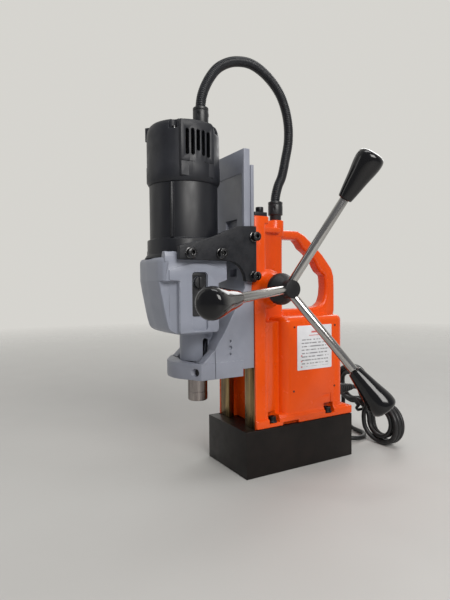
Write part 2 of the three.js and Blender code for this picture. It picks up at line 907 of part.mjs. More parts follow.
function gearboxHousing() {
  const { halfWidth, base, top } = gearbox;
  const quill = disc(neck.radius, neck.base, base + 6, 32).translate(0, spindleY, 0);
  const ear = block(lug.inner, halfWidth, lug.front, lug.back, top - 4, top + 7.3);
  const parts = [gearboxShell(), quill, ear];
  const cuts = [disc(3, top + 2, top + 14, 12).translate(lug.screwX, lug.screwY, 0)];
  for (const side of [-1, 1]) {
    const pad = carried(cheekPad(), halfWidth - 1, halfWidth + 1.2);
    const channel = raised(
      outline([
        [36, -216],
        [36.5, -193],
        [39, -187.5],
        [52, -186],
        [52, -216],
      ]),
      base - 5,
      267,
    );
    const windowShape = roundedRectangle(-169, -147, 203.5, 278, 4);
    const window = carried(windowShape, halfWidth - selector.recess, halfWidth + 5, 3);
    const turn = side > 0 ? (shape) => shape : (shape) => mirrored(shape);
    parts.push(turn(pad));
    cuts.push(turn(channel), turn(window));
  }
  const gearRoom = disc(41, 267, top + 1, 32).translate(0, motorY, 0);
  cuts.push(common(gearRoom, block(-41, 41, -205, -120.4, 260, 300)));
  cuts.push(block(-32, 32, -197, -163, 212, 270));
  cuts.push(disc(motor.flangeRadius + GAP, top, top + 20, 36).translate(0, motorY, 0));
  cuts.push(disc(14.3, neck.base - 5, 240, 32).translate(0, spindleY, 0));
  cuts.push(disc(19.8, 239, 270, 32).translate(0, spindleY, 0));
  for (const side of [-1, 1]) {
    const { halfWidth: half, low, high } = driftSlot;
    const slot = roundedRectangle(spindleY - half, spindleY + half, low, high, half - 0.1);
    cuts.push(carried(slot, side > 0 ? 10 : -30, side > 0 ? 30 : -10, 4));
  }
  return piece("gearbox_housing", cut(fused(...parts), ...cuts), GREY_PAINT);
}

function selectorKnob() {
  const { radius, recess } = selector;
  const { halfWidth } = gearbox;
  const grip = lyingAlongX(disc(radius, halfWidth - recess + GAP, halfWidth + 2.4, 24));
  const bar = block(halfWidth, halfWidth + 5, -2, 2, -radius + 1, radius - 1);
  return placed(piece("speed_selector", fused(grip, bar), BLACK_PLASTIC), 0, selector.y, selector.z);
}

// ---- Gear train: armature pinion, countershaft, spindle gear ----

const train = {
  first: { module: 0.85, pinion: 8, wheel: 40 },
  second: { module: 1, pinion: 10, wheel: 36 },
};

function countershaftPlace() {
  const first = (train.first.module * (train.first.pinion + train.first.wheel)) / 2;
  const second = (train.second.module * (train.second.pinion + train.second.wheel)) / 2;
  const apart = spindleY - motorY;
  const fromMotor = (apart * apart + first * first - second * second) / (2 * apart);
  return { x: Math.sqrt(first * first - fromMotor * fromMotor), y: motorY + fromMotor };
}

function spindleGroup() {
  const shaft = turned(
    [
      [arbor.bore, arbor.base],
      [arbor.radius - 0.8, arbor.base],
      [arbor.radius, arbor.base + 0.8],
      [arbor.radius, 214],
      [12, 216],
      [12, 262],
      [8.6, 262],
      [8.6, 277],
      [0, 277],
      [0, 130],
      [arbor.bore, 128],
      [arbor.bore, arbor.base],
    ],
    24,
  );
  const group = new THREE.Group();
  group.add(piece("spindle", shaft, STEEL));
  const place = countershaftPlace();
  const towards = Math.atan2(place.y - spindleY, place.x);
  const halfStep = Math.PI / train.second.wheel;
  const wheel = raised(gearOutline(train.second.wheel, train.second.module, towards + halfStep), 269, 276);
  group.add(piece("spindle_gear", cut(wheel, disc(8.6 + GAP, 260, 280, 32)), STEEL));
  group.position.y = spindleY;
  return group;
}

function countershaft() {
  const place = countershaftPlace();
  const toMotor = Math.atan2(motorY - place.y, -place.x);
  const toSpindle = Math.atan2(spindleY - place.y, -place.x);
  const halfStep = Math.PI / train.first.wheel;
  const wheel = raised(gearOutline(train.first.wheel, train.first.module, toMotor + halfStep), 280, 287);
  const pinion = raised(gearOutline(train.second.pinion, train.second.module, toSpindle), 267.8, 281);
  const shaft = disc(3.4, 267.6, 291, 16);
  return placed(piece("countershaft", fused(wheel, pinion, shaft), STEEL), place.x, place.y, 0);
}

function armature() {
  const place = countershaftPlace();
  const toCounter = Math.atan2(place.y - motorY, place.x);
  const pinion = raised(gearOutline(train.first.pinion, train.first.module, toCounter), 278.5, 292);
  const rotor = turned(
    [
      [0, 291],
      [4.2, 291],
      [4.2, 304],
      [12, 304],
      [36, 307],
      [36, 318],
      [12, 318],
      [8, 330],
      [27, 330],
      [27, 378],
      [8, 378],
      [8, 384],
      [15, 384],
      [15, 402],
      [4.2, 402],
      [4.2, 462],
      [0, 462],
    ],
    18,
  );
  return placed(piece("armature", fused(pinion, rotor), COPPER), 0, motorY, 0);
}

function spindleBearing() {
  const race = turned(
    [
      [12 + GAP, 239.3],
      [19.5, 239.3],
      [19.5, 252],
      [12 + GAP, 252],
      [12 + GAP, 239.3],
    ],
    32,
  );
  return placed(piece("spindle_bearing", race, STEEL), 0, spindleY, 0);
}

// ---- Motor ----

// The flared foot of the motor case, trimmed to the gearbox's sides and round its screw ears.
function motorSkirt() {
  const { base, radius, halfWidth } = motor;
  const flare = turned(
    [
      [radius - 1, base],
      [52.8, base],
      [49.4, base + 5],
      [radius - 1, base + 5],
      [radius - 1, base],
    ],
    36,
  );
  const [earFront, earBack] = [lug.front - motorY - 6, lug.back - motorY + GAP];
  const earRoom = block(lug.inner - GAP, 60, earFront, earBack, base - 1, base + 6);
  const [front, back] = [gearbox.front + 3 - motorY, gearbox.back - motorY];
  return cut(common(flare, block(-halfWidth, halfWidth, front, back, base, base + 5)), earRoom);
}

function motorCase() {
  const { radius, flangeRadius, halfWidth, base, floor, flangeTop, caseTop } = motor;
  const round = turned(
    [
      [6.5, base],
      [flangeRadius, base],
      [flangeRadius, flangeTop - 2],
      [radius, flangeTop],
      [radius, caseTop],
      [41.6, caseTop],
      [41.6, floor],
      [6.5, floor],
      [6.5, base],
    ],
    36,
  );
  const barrel = common(round, block(-halfWidth, halfWidth, -60, 60, base - 1, caseTop + 1));
  const feet = raised(roundedRectangle(-halfWidth, halfWidth, -29, 34, 5), base, 318, 3);
  const hollow = fused(disc(41.6, floor, 330, 36), disc(6.5, base - 1, floor + 1, 24));
  const casing = fused(barrel, cut(fused(feet, motorSkirt()), hollow));
  return placed(piece("motor_case", casing, BLACK_PLASTIC), 0, motorY, 0);
}

function stator() {
  const core = turned(
    [
      [29, 332],
      [41.2, 332],
      [41.2, 376],
      [29, 376],
      [29, 332],
    ],
    32,
  );
  return placed(piece("stator", core, STEEL), 0, motorY, 0);
}

const ventPitch = 7.3;
const capFlat = { front: -24.5, back: 21.7, top: 466.7 };
const capScrewPlace = { radius: 42.2, angle: 0.7, z: 457 };

function motorCap() {
  const { caseTop, capTop, capRadius } = motor;
  const low = caseTop + GAP;
  const crown = turned(
    [
      [0, low],
      [capRadius - 2, low],
      [capRadius, low + 4],
      [capRadius, 415.5],
      [capRadius - 0.5, 417],
      [capRadius - 0.5, 455],
      [capRadius - 2, 464],
      [capRadius - 4.5, 468.4],
      [capRadius - 9, capTop],
      [0, capTop],
    ],
    36,
  );
  const flats = carried(roundedRectangle(capFlat.front, capFlat.back, 398, capFlat.top, 4), -46.6, 46.6, 3);
  const conduitHole = disc(5, 460, capTop + 4, 16).translate(0, glands.motor.y - motorY, 0);
  const cuts = [disc(41.6, low - 1, 448, 28), disc(33, 447, 464, 28), conduitHole];
  for (const side of [-1, 1]) {
    for (let slot = -2; slot <= 2; slot += 1) {
      const middle = slot * ventPitch - 1;
      const foot = slot === 0 ? 429.5 : 424;
      const [x0, x1] = side > 0 ? [26, 50] : [-50, -26];
      cuts.push(block(x0, x1, middle - 2.2, middle + 2.2, foot, 456));
    }
    for (const angle of [capScrewPlace.angle, -capScrewPlace.angle]) {
      const { radius, z } = capScrewPlace;
      const notch = disc(5.6, z, capTop + 5, 12);
      cuts.push(notch.translate(side * radius * Math.cos(angle), radius * Math.sin(angle), 0));
    }
  }
  return placed(piece("motor_cap", cut(fused(crown, flats), ...cuts), BLACK_PLASTIC), 0, motorY, 0);
}

function motorGland() {
  const { y, z, height } = glands.motor;
  return placed(piece("motor_gland", gland(height), BLACK_PLASTIC), 0, y, z);
}

// ---- Feed wheel ----

function feedShaft() {
  const shaft = disc(feed.shaftRadius, -64, hub.apex - 6, 28);
  const collar = disc(11, -64, -stand.halfWidth - 7 - GAP, 28);
  const teeth = (2 * feed.pitchRadius) / RACK_MODULE;
  const pinion = raised(gearOutline(teeth, RACK_MODULE, Math.PI / 2), -7.3, 7.3);
  const body = lyingAlongX(fused(shaft, collar)).clone();
  const gear = lyingAlongX(pinion).rotateX(Math.PI / 2);
  return placed(piece("feed_shaft", fused(body, gear), STEEL), 0, feed.y, feed.z);
}

function hubBody(directions) {
  const body = lyingAlongX(
    turned(
      [
        [0, hub.start],
        [hub.radius, hub.start],
        [hub.radius, 81],
        [18, 88],
        [13.4, 93],
        [hub.noseRadius, 94],
        [hub.noseRadius, hub.end - 0.8],
        [hub.noseRadius - 0.8, hub.end],
        [0, hub.end],
      ],
      28,
    ),
  );
  const cuts = [lyingAlongX(disc(feed.shaftRadius + GAP, hub.start - 5, hub.apex - 5.7, 28))];
  for (const direction of directions) {
    const bore = disc(spoke.radius + GAP, spoke.start - GAP, 60, 16);
    const turn = new THREE.Quaternion().setFromUnitVectors(new THREE.Vector3(0, 0, 1), direction);
    cuts.push(bore.applyQuaternion(turn).translate(hub.apex, 0, 0));
  }
  return piece("feed_hub", cut(body, ...cuts), BLACK_PLASTIC);
}

function spokeDirection(phase) {
  const tilt = THREE.MathUtils.degToRad(spoke.tilt);
  const turn = THREE.MathUtils.degToRad(phase);
  return new THREE.Vector3(Math.sin(tilt), Math.cos(tilt) * Math.cos(turn), Math.cos(tilt) * Math.sin(turn));
}

function knobProfile() {
  const length = spoke.tip - spoke.neck;
  const bore = spoke.radius + GAP;
  return [
    [bore, 0],
    [8.4, 0],
    [9.1, 1.5],
    [11, 0.22 * length],
    [13.6, 0.46 * length],
    [16.2, 0.7 * length],
    [16.8, 0.82 * length],
    [15.4, 0.92 * length],
    [11.5, 0.98 * length],
    [5, length],
    [0, length],
    [0, 15],
    [bore, 15],
    [bore, 0],
  ];
}

function feedWheel() {
  const group = new THREE.Group();
  const directions = spoke.phases.map(spokeDirection);
  group.add(hubBody(directions));
  for (const [index, direction] of directions.entries()) {
    const arm = new THREE.Group();
    arm.add(piece(`spoke_${index + 1}`, disc(spoke.radius, spoke.start, spoke.neck + 14.5, 16), STEEL));
    const grip = piece(`knob_${index + 1}`, turned(knobProfile(), 20), BLACK_GLOSS);
    grip.position.z = spoke.neck;
    arm.add(grip);
    arm.position.x = hub.apex;
    arm.quaternion.setFromUnitVectors(new THREE.Vector3(0, 0, 1), direction);
    group.add(arm);
  }
  group.position.set(0, feed.y, feed.z);
  return group;
}

// ---- The whole machine ----

const machine = new THREE.Group();
machine.name = "magnetic_drill_press";
machine.add(magnetBase(), standHousing(), gib(1), gib(-1), columnCap(), standFittings());
for (const [name, x, y] of [
  ["flange_bolt_front_right", flangeBolts.x, flangeBolts.rows[0]],
  ["flange_bolt_rear_right", flangeBolts.x, flangeBolts.rows[1]],
  ["flange_bolt_front_left", -flangeBolts.x, flangeBolts.rows[0]],
  ["flange_bolt_rear_left", -flangeBolts.x, flangeBolts.rows[1]],
]) {
  machine.add(flangeBolt(name, x, y));
}
machine.add(controlPanel(), rockerSwitch());
machine.add(pushButton("start_button", controls.start, GREEN_PLASTIC));
machine.add(pushButton("stop_button", controls.stop, RED_PLASTIC));
machine.add(strainRelief(), cordOnStand(), powerPlug());
machine.add(slideCasting(), feedRack(), clampCap(), clampScrew("clamp_screw_right", 1));
machine.add(clampScrew("clamp_screw_left", -1), sideBracket(1), sideBracket(-1));
machine.add(gearboxHousing(), selectorKnob(), spindleBearing(), motorCase(), stator(), motorCap());
machine.add(motorGland(), spindleGroup(), countershaft(), armature());
machine.add(feedShaft(), feedWheel());
export default machine;
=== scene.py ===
import math

import bmesh
import bpy
from mathutils import Matrix, Vector


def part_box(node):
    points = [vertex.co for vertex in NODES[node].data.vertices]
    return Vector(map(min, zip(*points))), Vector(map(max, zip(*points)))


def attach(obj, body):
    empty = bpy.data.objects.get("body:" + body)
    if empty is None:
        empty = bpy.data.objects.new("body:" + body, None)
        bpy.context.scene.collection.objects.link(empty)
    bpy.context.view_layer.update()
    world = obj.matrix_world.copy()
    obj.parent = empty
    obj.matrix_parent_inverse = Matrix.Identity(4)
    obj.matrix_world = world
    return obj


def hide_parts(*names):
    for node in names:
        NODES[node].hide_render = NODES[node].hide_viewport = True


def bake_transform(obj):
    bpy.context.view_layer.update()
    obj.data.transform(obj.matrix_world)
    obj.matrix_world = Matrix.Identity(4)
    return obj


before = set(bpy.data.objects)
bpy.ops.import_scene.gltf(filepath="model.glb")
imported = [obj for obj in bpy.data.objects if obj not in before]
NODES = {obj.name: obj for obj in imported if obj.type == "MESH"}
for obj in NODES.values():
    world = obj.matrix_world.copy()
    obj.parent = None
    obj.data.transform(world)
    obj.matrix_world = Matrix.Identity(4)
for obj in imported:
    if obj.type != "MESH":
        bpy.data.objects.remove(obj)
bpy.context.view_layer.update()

MM = 0.001

# ---- Driving sizes, in millimetres, as in the CAD ----

CAMERA = {"place": (590.8, -432.4, 264.0), "yaw": 60.31, "pitch": 2.02, "roll": -0.50, "lens": 28.85}
SPINDLE_Y = -140
MOTOR_Y = -158
FEED_Y = -55
FEED_Z = 255.5
GLAND_Y = -7.5
MOTOR_GLAND_Y = -131
EDGE_ANGLE = 38  # degrees: an edge sharper than this is shaded crisp


# ---- Camera ----

def make_camera():
    yaw, pitch, roll = (math.radians(CAMERA[key]) for key in ("yaw", "pitch", "roll"))
    forward = Vector((-math.sin(yaw) * math.cos(pitch), math.cos(yaw) * math.cos(pitch), -math.sin(pitch)))
    level_right = Vector((math.cos(yaw), math.sin(yaw), 0))
    level_up = level_right.cross(forward)
    right = level_right * math.cos(roll) + level_up * math.sin(roll)
    up = level_up * math.cos(roll) - level_right * math.sin(roll)
    data = bpy.data.cameras.new("camera")
    data.sensor_width = 36
    data.lens = CAMERA["lens"]
    data.clip_start = 0.01
    camera = bpy.data.objects.new("camera", data)
    turn = Matrix((right, up, -forward)).transposed().to_4x4()
    camera.matrix_world = Matrix.Translation(Vector(CAMERA["place"]) * MM) @ turn
    bpy.context.scene.collection.objects.link(camera)
    bpy.context.scene.camera = camera


make_camera()


# ---- Mesh making: every outline and profile is in millimetres ----

def new_object(name, data):
    thing = bpy.data.objects.new(name, data)
    bpy.context.scene.collection.objects.link(thing)
    return thing


def from_bmesh(name, bm):
    bmesh.ops.recalc_face_normals(bm, faces=bm.faces)
    mesh = bpy.data.meshes.new(name)
    bm.to_mesh(mesh)
    bm.free()
    return new_object(name, mesh)


def filleted(corners, step=9):
    """A closed outline through the corners. A corner given as (u, v, radius) is rounded."""
    points = []
    for index, corner in enumerate(corners):
        here = Vector(corner[:2])
        radius = corner[2] if len(corner) > 2 else 0
        if not radius:
            points.append(here)
            continue
        before = Vector(corners[index - 1][:2]) - here
        after = Vector(corners[(index + 1) % len(corners)][:2]) - here
        room = 0.5 * min(before.length, after.length)
        half = before.angle(after) / 2
        reach = min(radius / math.tan(half), room)
        radius = reach * math.tan(half)
        inward = (before.normalized() + after.normalized()).normalized()
        centre = here + inward * radius / math.sin(half)
        first = here + before.normalized() * reach - centre
        last = here + after.normalized() * reach - centre
        sweep = first.angle_signed(last)
        steps = max(1, round(abs(math.degrees(sweep)) / step))
        for count in range(steps + 1):
            angle = -sweep * count / steps
            points.append(centre + Matrix.Rotation(angle, 2) @ first)
    return points


def box_outline(u0, u1, v0, v1, radius=0):
    return filleted([(u0, v0, radius), (u1, v0, radius), (u1, v1, radius), (u0, v1, radius)])


def open_curve(knots, steps=6):
    """Points along a Catmull-Rom curve through the knots, ends included."""
    knots = [Vector(knot) for knot in knots]
    whole = [2 * knots[0] - knots[1]] + knots + [2 * knots[-1] - knots[-2]]
    points = []
    for index in range(len(knots) - 1):
        a, b, c, d = whole[index:index + 4]
        for step in range(steps):
            t = step / steps
            points.append(0.5 * (2 * b + (c - a) * t + (2 * a - 5 * b + 4 * c - d) * t ** 2
                                 + (3 * b - a - 3 * c + d) * t ** 3))
    return points + [knots[-1]]


def upright(u, v, w):
    return (u, v, w)


def sideways(u, v, w):
    return (w, u, v)


def endways(u, v, w):
    return (u, w, v)


def bridge(bm, one, two):
    """Faces between two rings of vertices, either of which may be a single vertex."""
    count = max(len(one), len(two))
    for index in range(count):
        after = (index + 1) % count
        corners = dict.fromkeys([one[index % len(one)], one[after % len(one)],
                                 two[after % len(two)], two[index % len(two)]])
        if len(corners) > 2:
            bm.faces.new(list(corners))


def lofted(name, rings):
    """A closed skin over rings of points, all with the same number, and a face on each end."""
    bm = bmesh.new()
    rings = [[bm.verts.new(Vector(point) * MM) for point in ring] for ring in rings]
    bm.faces.new(rings[0])
    bm.faces.new(rings[-1])
    for one, two in zip(rings, rings[1:]):
        bridge(bm, one, two)
    return from_bmesh(name, bm)


def prism(name, outline, low, high, lay=upright):
    """An outline carried from low to high: upright is (x, y) along z, sideways is (y, z) along x, and
    endways is (x, z) along y."""
    return lofted(name, [[lay(u, v, level) for u, v in outline] for level in (low, high)])


def side_prism(name, outline, side, inner, outer):
    """A prism along x on one side of the machine, side being 1 or -1, from inner to outer."""
    return prism(name, outline, *sorted((side * inner, side * outer)), sideways)


def block(name, x0, x1, y0, y1, z0, z1):
    return prism(name, box_outline(x0, x1, y0, y1), z0, z1)


def lathe(name, profile, sides=64, matrix=None):
    """A profile of (radius, height) turned round Z. It ends on the axis or back at its first point."""
    bm = bmesh.new()
    closed = profile[0] == profile[-1]
    if closed:
        profile = profile[:-1]
    rings = []
    for radius, height in profile:
        if radius < 1e-6:
            rings.append([bm.verts.new((0, 0, height * MM))])
            continue
        ring = []
        for side in range(sides):
            angle = 2 * math.pi * side / sides
            x, y = radius * math.cos(angle), radius * math.sin(angle)
            ring.append(bm.verts.new((x * MM, y * MM, height * MM)))
        rings.append(ring)
    for one, two in zip(rings, rings[1:] + rings[:1] if closed else rings[1:]):
        bridge(bm, one, two)
    thing = from_bmesh(name, bm)
    if matrix:
        thing.data.transform(matrix)
    return thing


def at(x=0, y=0, z=0):
    return Matrix.Translation(Vector((x, y, z)) * MM)


ALONG_X = Matrix.Rotation(math.pi / 2, 4, "Y")
ALONG_LEFT = Matrix.Rotation(-math.pi / 2, 4, "Y")
ALONG_Y = Matrix.Rotation(-math.pi / 2, 4, "X")
FEED_AXIS = at(0, FEED_Y, FEED_Z) @ ALONG_X
MOTOR_AXIS = at(0, MOTOR_Y, 0)
SPINDLE_AXIS = at(0, SPINDLE_Y, 0)


def rod(name, radius, low, high, matrix=None, sides=48):
    return lathe(name, [(0, low), (radius, low), (radius, high), (0, high)], sides, matrix)


def baked(thing):
    """Applies the modifiers."""
    graph = bpy.context.evaluated_depsgraph_get()
    mesh = bpy.data.meshes.new_from_object(thing.evaluated_get(graph))
    thing.modifiers.clear()
    old = thing.data
    thing.data = mesh
    bpy.data.meshes.remove(old)
    return thing


def combined(base, tools, operation):
    for tool in tools:
        change = base.modifiers.new("join", "BOOLEAN")
        change.operation = operation
        change.solver = "EXACT"
        change.object = tool
    bpy.context.view_layer.update()
    baked(base)
    for tool in tools:
        bpy.data.objects.remove(tool)
    return base


def joined(base, *tools):
    return combined(base, tools, "UNION")


def minus(base, *tools):
    return combined(base, tools, "DIFFERENCE")


def shared(base, *tools):
    return combined(base, tools, "INTERSECT")


def ease_edges(thing, merge_mm, width, segments, angle):
    """Modifiers that merge close vertices, dissolve edges on flat faces and round the edges that are left."""
    merge = thing.modifiers.new("merge", "WELD")
    merge.merge_threshold = merge_mm * MM
    flatten = thing.modifiers.new("flatten", "DECIMATE")
    flatten.decimate_type = "DISSOLVE"
    flatten.angle_limit = math.radians(0.5)
    bevel = thing.modifiers.new("bevel", "BEVEL")
    bevel.width = width * MM
    bevel.segments = segments
    bevel.limit_method = "ANGLE"
    bevel.angle_limit = math.radians(angle)
    bevel.use_clamp_overlap = False


def bevelled(thing, width, segments=2, angle=35):
    ease_edges(thing, 0.02, width, segments, angle)
    bpy.context.view_layer.update()
    return baked(thing)


def shaded(thing, angle=EDGE_ANGLE):
    """Smooth shading, with the edges sharper than the angle kept crisp."""
    bm = bmesh.new()
    bm.from_mesh(thing.data)
    bmesh.ops.remove_doubles(bm, verts=bm.verts, dist=0.000003)
    for face in bm.faces:
        face.smooth = True
    for edge in bm.edges:
        edge.smooth = len(edge.link_faces) != 2 or edge.calc_face_angle(0) < math.radians(angle)
    bm.to_mesh(thing.data)
    bm.free()
    return thing


# ---- Materials: all procedural, in the piece's own coordinates ----

def add_node(tree, kind, inputs, output=0, **settings):
    """Adds a node whose inputs are values or other nodes' outputs, and gives one of its outputs."""
    node = tree.nodes.new(kind)
    for name, value in settings.items():
        setattr(node, name, value)
    for socket, value in inputs.items():
        if isinstance(value, bpy.types.NodeSocket):
            tree.links.new(value, node.inputs[socket])
        else:
            node.inputs[socket].default_value = value
    return node.outputs[output]


def add_noise(tree, coordinates, scale, detail=3.0, roughness=0.5):
    return add_node(tree, "ShaderNodeTexNoise", {
        "Vector": coordinates, "Scale": scale, "Detail": detail, "Roughness": roughness}, "Fac")


def calculated(tree, operation, *values):
    return add_node(tree, "ShaderNodeMath", dict(enumerate(values)), operation=operation)


def ranged(tree, value, low, high, to_low, to_high):
    return add_node(tree, "ShaderNodeMapRange", {
        "Value": value, "From Min": low, "From Max": high, "To Min": to_low, "To Max": to_high})


def mixed(tree, amount, first, second):
    """A colour between two colours, each a tuple or a socket."""
    first, second = ((*colour, 1) if isinstance(colour, tuple) else colour for colour in (first, second))
    return add_node(tree, "ShaderNodeMix", {0: amount, 6: first, 7: second}, 2, data_type="RGBA")


def bumped(tree, height, depth, normal=None):
    inputs = {"Strength": 1, "Distance": depth * MM, "Height": height}
    if normal:
        inputs["Normal"] = normal
    return add_node(tree, "ShaderNodeBump", inputs)


WEAR_WIDTH = 0.7  # how far from an edge the wear colour can reach


def surface(name, colour, roughness, metallic=0.0, coat=0.0, second=None, mottle=60, rough_range=0.06,
            grain=(), stretch=(1, 1, 1), wear=None, specular=0.5):
    """second is the colour that the mottling drifts to, grain a list of (scale, depth in mm) and wear the
    colour that shows along edges."""
    material = bpy.data.materials.new(name)
    material.use_nodes = True
    tree = material.node_tree
    shader = tree.nodes["Principled BSDF"]
    shader.inputs["Metallic"].default_value = metallic
    shader.inputs["Coat Weight"].default_value = coat
    shader.inputs["Coat Roughness"].default_value = 0.12
    shader.inputs["Specular IOR Level"].default_value = specular
    coordinates = add_node(tree, "ShaderNodeTexCoord", {}, "Object")
    along = add_node(tree, "ShaderNodeMapping", {"Vector": coordinates, "Scale": stretch})
    patch = ranged(tree, add_noise(tree, along, mottle, 5.0, 0.6), 0.35, 0.65, 0, 1)
    tone = mixed(tree, patch, colour, second or tuple(0.86 * channel for channel in colour))
    if wear:
        soft = add_node(tree, "ShaderNodeBevel", {"Radius": WEAR_WIDTH * MM}, samples=4)
        plain = add_node(tree, "ShaderNodeNewGeometry", {}, "Normal")
        turn = add_node(tree, "ShaderNodeVectorMath", {0: soft, 1: plain}, "Value", operation="DOT_PRODUCT")
        edge = ranged(tree, turn, 0.999, 0.9, 0, 0.8)
        broken = ranged(tree, add_noise(tree, coordinates, 230, 4.0), 0.45, 0.62, 0, 1)
        tone = mixed(tree, calculated(tree, "MULTIPLY", edge, broken), tone, wear)
    tree.links.new(tone, shader.inputs["Base Color"])
    spread = ranged(tree, add_noise(tree, along, mottle * 2.3, 4.0), 0.3, 0.7,
                    max(0.02, roughness - rough_range), roughness + rough_range)
    tree.links.new(spread, shader.inputs["Roughness"])
    normal = None
    for scale, depth in grain:
        normal = bumped(tree, add_noise(tree, along, scale, 2.0), depth, normal)
    if normal:
        tree.links.new(normal, shader.inputs["Normal"])
    return material


# How many rows of dashes, and of red bullets, would fill the label's whole height.
LABEL_ROWS = 13.0
BULLET_ROWS = 8.0


def label_surface():
    """White film with a red mark and rows of grey dashes, none of them lettering."""
    low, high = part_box("rating_label")
    material = surface("label_film", (0.80, 0.81, 0.84), 0.35, mottle=30, grain=[(500, 0.01)])
    tree = material.node_tree
    shader = tree.nodes["Principled BSDF"]
    plain = shader.inputs["Base Color"].links[0].from_socket
    place = {0: tree.nodes["Texture Coordinate"].outputs["Object"]}
    across = ranged(tree, add_node(tree, "ShaderNodeSeparateXYZ", place, "Y"), low.y, high.y, 0, 1)
    down = ranged(tree, add_node(tree, "ShaderNodeSeparateXYZ", place, "Z"), high.z, low.z, 0, 1)

    def maths(operation, *values):
        return calculated(tree, operation, *values)

    def times(one, two):
        return maths("MULTIPLY", one, two)

    def within(value, least, most):
        return times(maths("GREATER_THAN", value, least), maths("LESS_THAN", value, most))

    line = times(down, LABEL_ROWS)
    rows = maths("LESS_THAN", maths("FRACT", line), 0.34)
    ragged = {0: times(across, 26.0), 1: times(maths("FLOOR", line), 7.3)}
    specks = add_noise(tree, add_node(tree, "ShaderNodeCombineXYZ", ragged), 1.0, 1.0)
    dashes = maths("GREATER_THAN", specks, 0.46)
    dash_area = times(within(across, 0.12, 0.9), within(down, 0.31, 0.93))
    red_bar = times(within(across, 0.40, 0.60), within(down, 0.13, 0.17))
    red_dash = times(within(across, 0.33, 0.67), within(down, 0.22, 0.235))
    bullet_rows = within(maths("FRACT", times(down, BULLET_ROWS)), 0.3, 0.55)
    bullets = times(times(within(across, 0.10, 0.14), bullet_rows), within(down, 0.62, 0.95))
    red = maths("MAXIMUM", maths("MAXIMUM", red_bar, red_dash), bullets)
    tone = mixed(tree, times(times(times(rows, dashes), dash_area), 0.75), plain, (0.09, 0.09, 0.10))
    tone = mixed(tree, times(red, 0.85), tone, (0.55, 0.03, 0.02))
    tree.links.new(tone, shader.inputs["Base Color"])
    return material


ORANGE = surface(
    "orange_enamel", (0.82, 0.088, 0.003), 0.24, coat=0.12, second=(0.76, 0.074, 0.002), mottle=18,
    rough_range=0.05, grain=[(95, 0.05), (700, 0.012)], wear=(0.66, 0.10, 0.03), specular=0.4)
MAGNET_BLACK = surface(
    "magnet_paint", (0.006, 0.0045, 0.004), 0.38, second=(0.011, 0.008, 0.007), mottle=35,
    grain=[(600, 0.01)], wear=(0.06, 0.05, 0.045), specular=0.25)
RESIN = surface("potting", (0.03, 0.03, 0.034), 0.3, mottle=40, grain=[(80, 0.1)])
COPPER = surface(
    "copper_wire", (0.62, 0.26, 0.12), 0.32, metallic=1.0, mottle=200, stretch=(1, 1, 6), grain=[(500, 0.05)])
BRASS = surface(
    "worn_brass", (0.46, 0.33, 0.15), 0.32, metallic=1.0, second=(0.14, 0.09, 0.04), mottle=55,
    rough_range=0.12, stretch=(2.4, 2.4, 0.16), grain=[(420, 0.02)])
GREY_PAINT = surface(
    "gearbox_paint", (0.285, 0.305, 0.365), 0.38, second=(0.265, 0.285, 0.345), mottle=25,
    grain=[(260, 0.025), (1100, 0.01)], wear=(0.47, 0.49, 0.54))
GREY_SLIDE = surface(
    "slide_paint", (0.275, 0.29, 0.345), 0.40, second=(0.245, 0.26, 0.31), mottle=30,
    grain=[(180, 0.03), (900, 0.012)], wear=(0.50, 0.52, 0.56))
CASTING_BLACK = surface(
    "bracket_paint", (0.010, 0.011, 0.014), 0.44, second=(0.018, 0.019, 0.023), mottle=90,
    rough_range=0.12, grain=[(330, 0.22), (1500, 0.05)], wear=(0.10, 0.10, 0.11), specular=0.35)
CAP_BLACK = surface(
    "cap_plastic", (0.009, 0.010, 0.014), 0.48, second=(0.013, 0.0145, 0.020), mottle=40,
    grain=[(1800, 0.015)], wear=(0.06, 0.062, 0.068))
MOTOR_BLACK = surface(
    "motor_case", (0.005, 0.0058, 0.0085), 0.44, second=(0.008, 0.009, 0.0125), mottle=30,
    grain=[(1400, 0.008)], stretch=(1, 1, 0.4))
PLASTIC = surface(
    "black_plastic", (0.014, 0.0145, 0.016), 0.38, second=(0.020, 0.021, 0.023), mottle=70,
    grain=[(1300, 0.012)])
CONDUIT = surface(
    "conduit_plastic", (0.008, 0.009, 0.012), 0.36, second=(0.013, 0.0145, 0.018), mottle=80,
    grain=[(1500, 0.008)])
RUBBER = surface(
    "rubber", (0.010, 0.010, 0.011), 0.42, second=(0.017, 0.017, 0.018), mottle=90, grain=[(1200, 0.02)])
KNOB = surface(
    "knob_phenolic", (0.004, 0.004, 0.0048), 0.12, coat=0.25, second=(0.006, 0.006, 0.007), mottle=20,
    rough_range=0.03, grain=[(45, 0.02)], specular=0.35)
HUB = surface(
    "hub_plastic", (0.008, 0.008, 0.009), 0.48, second=(0.014, 0.014, 0.015), mottle=60,
    grain=[(900, 0.03)], wear=(0.05, 0.05, 0.05), specular=0.35)
BRIGHT = surface(
    "bright_steel", (0.56, 0.55, 0.53), 0.26, metallic=1.0, second=(0.43, 0.42, 0.40), mottle=120,
    rough_range=0.08, grain=[(1500, 0.006)])
POLISHED = surface(
    "polished_bar", (0.60, 0.59, 0.575), 0.17, metallic=1.0, second=(0.40, 0.39, 0.375), mottle=150,
    rough_range=0.05, stretch=(2.5, 2.5, 0.02), grain=[(260, 0.02)])
ARBOR = surface(
    "arbor_steel", (0.40, 0.36, 0.34), 0.24, metallic=1.0, second=(0.13, 0.11, 0.105), mottle=110,
    rough_range=0.08, stretch=(1, 1, 0.06), grain=[(300, 0.03)])
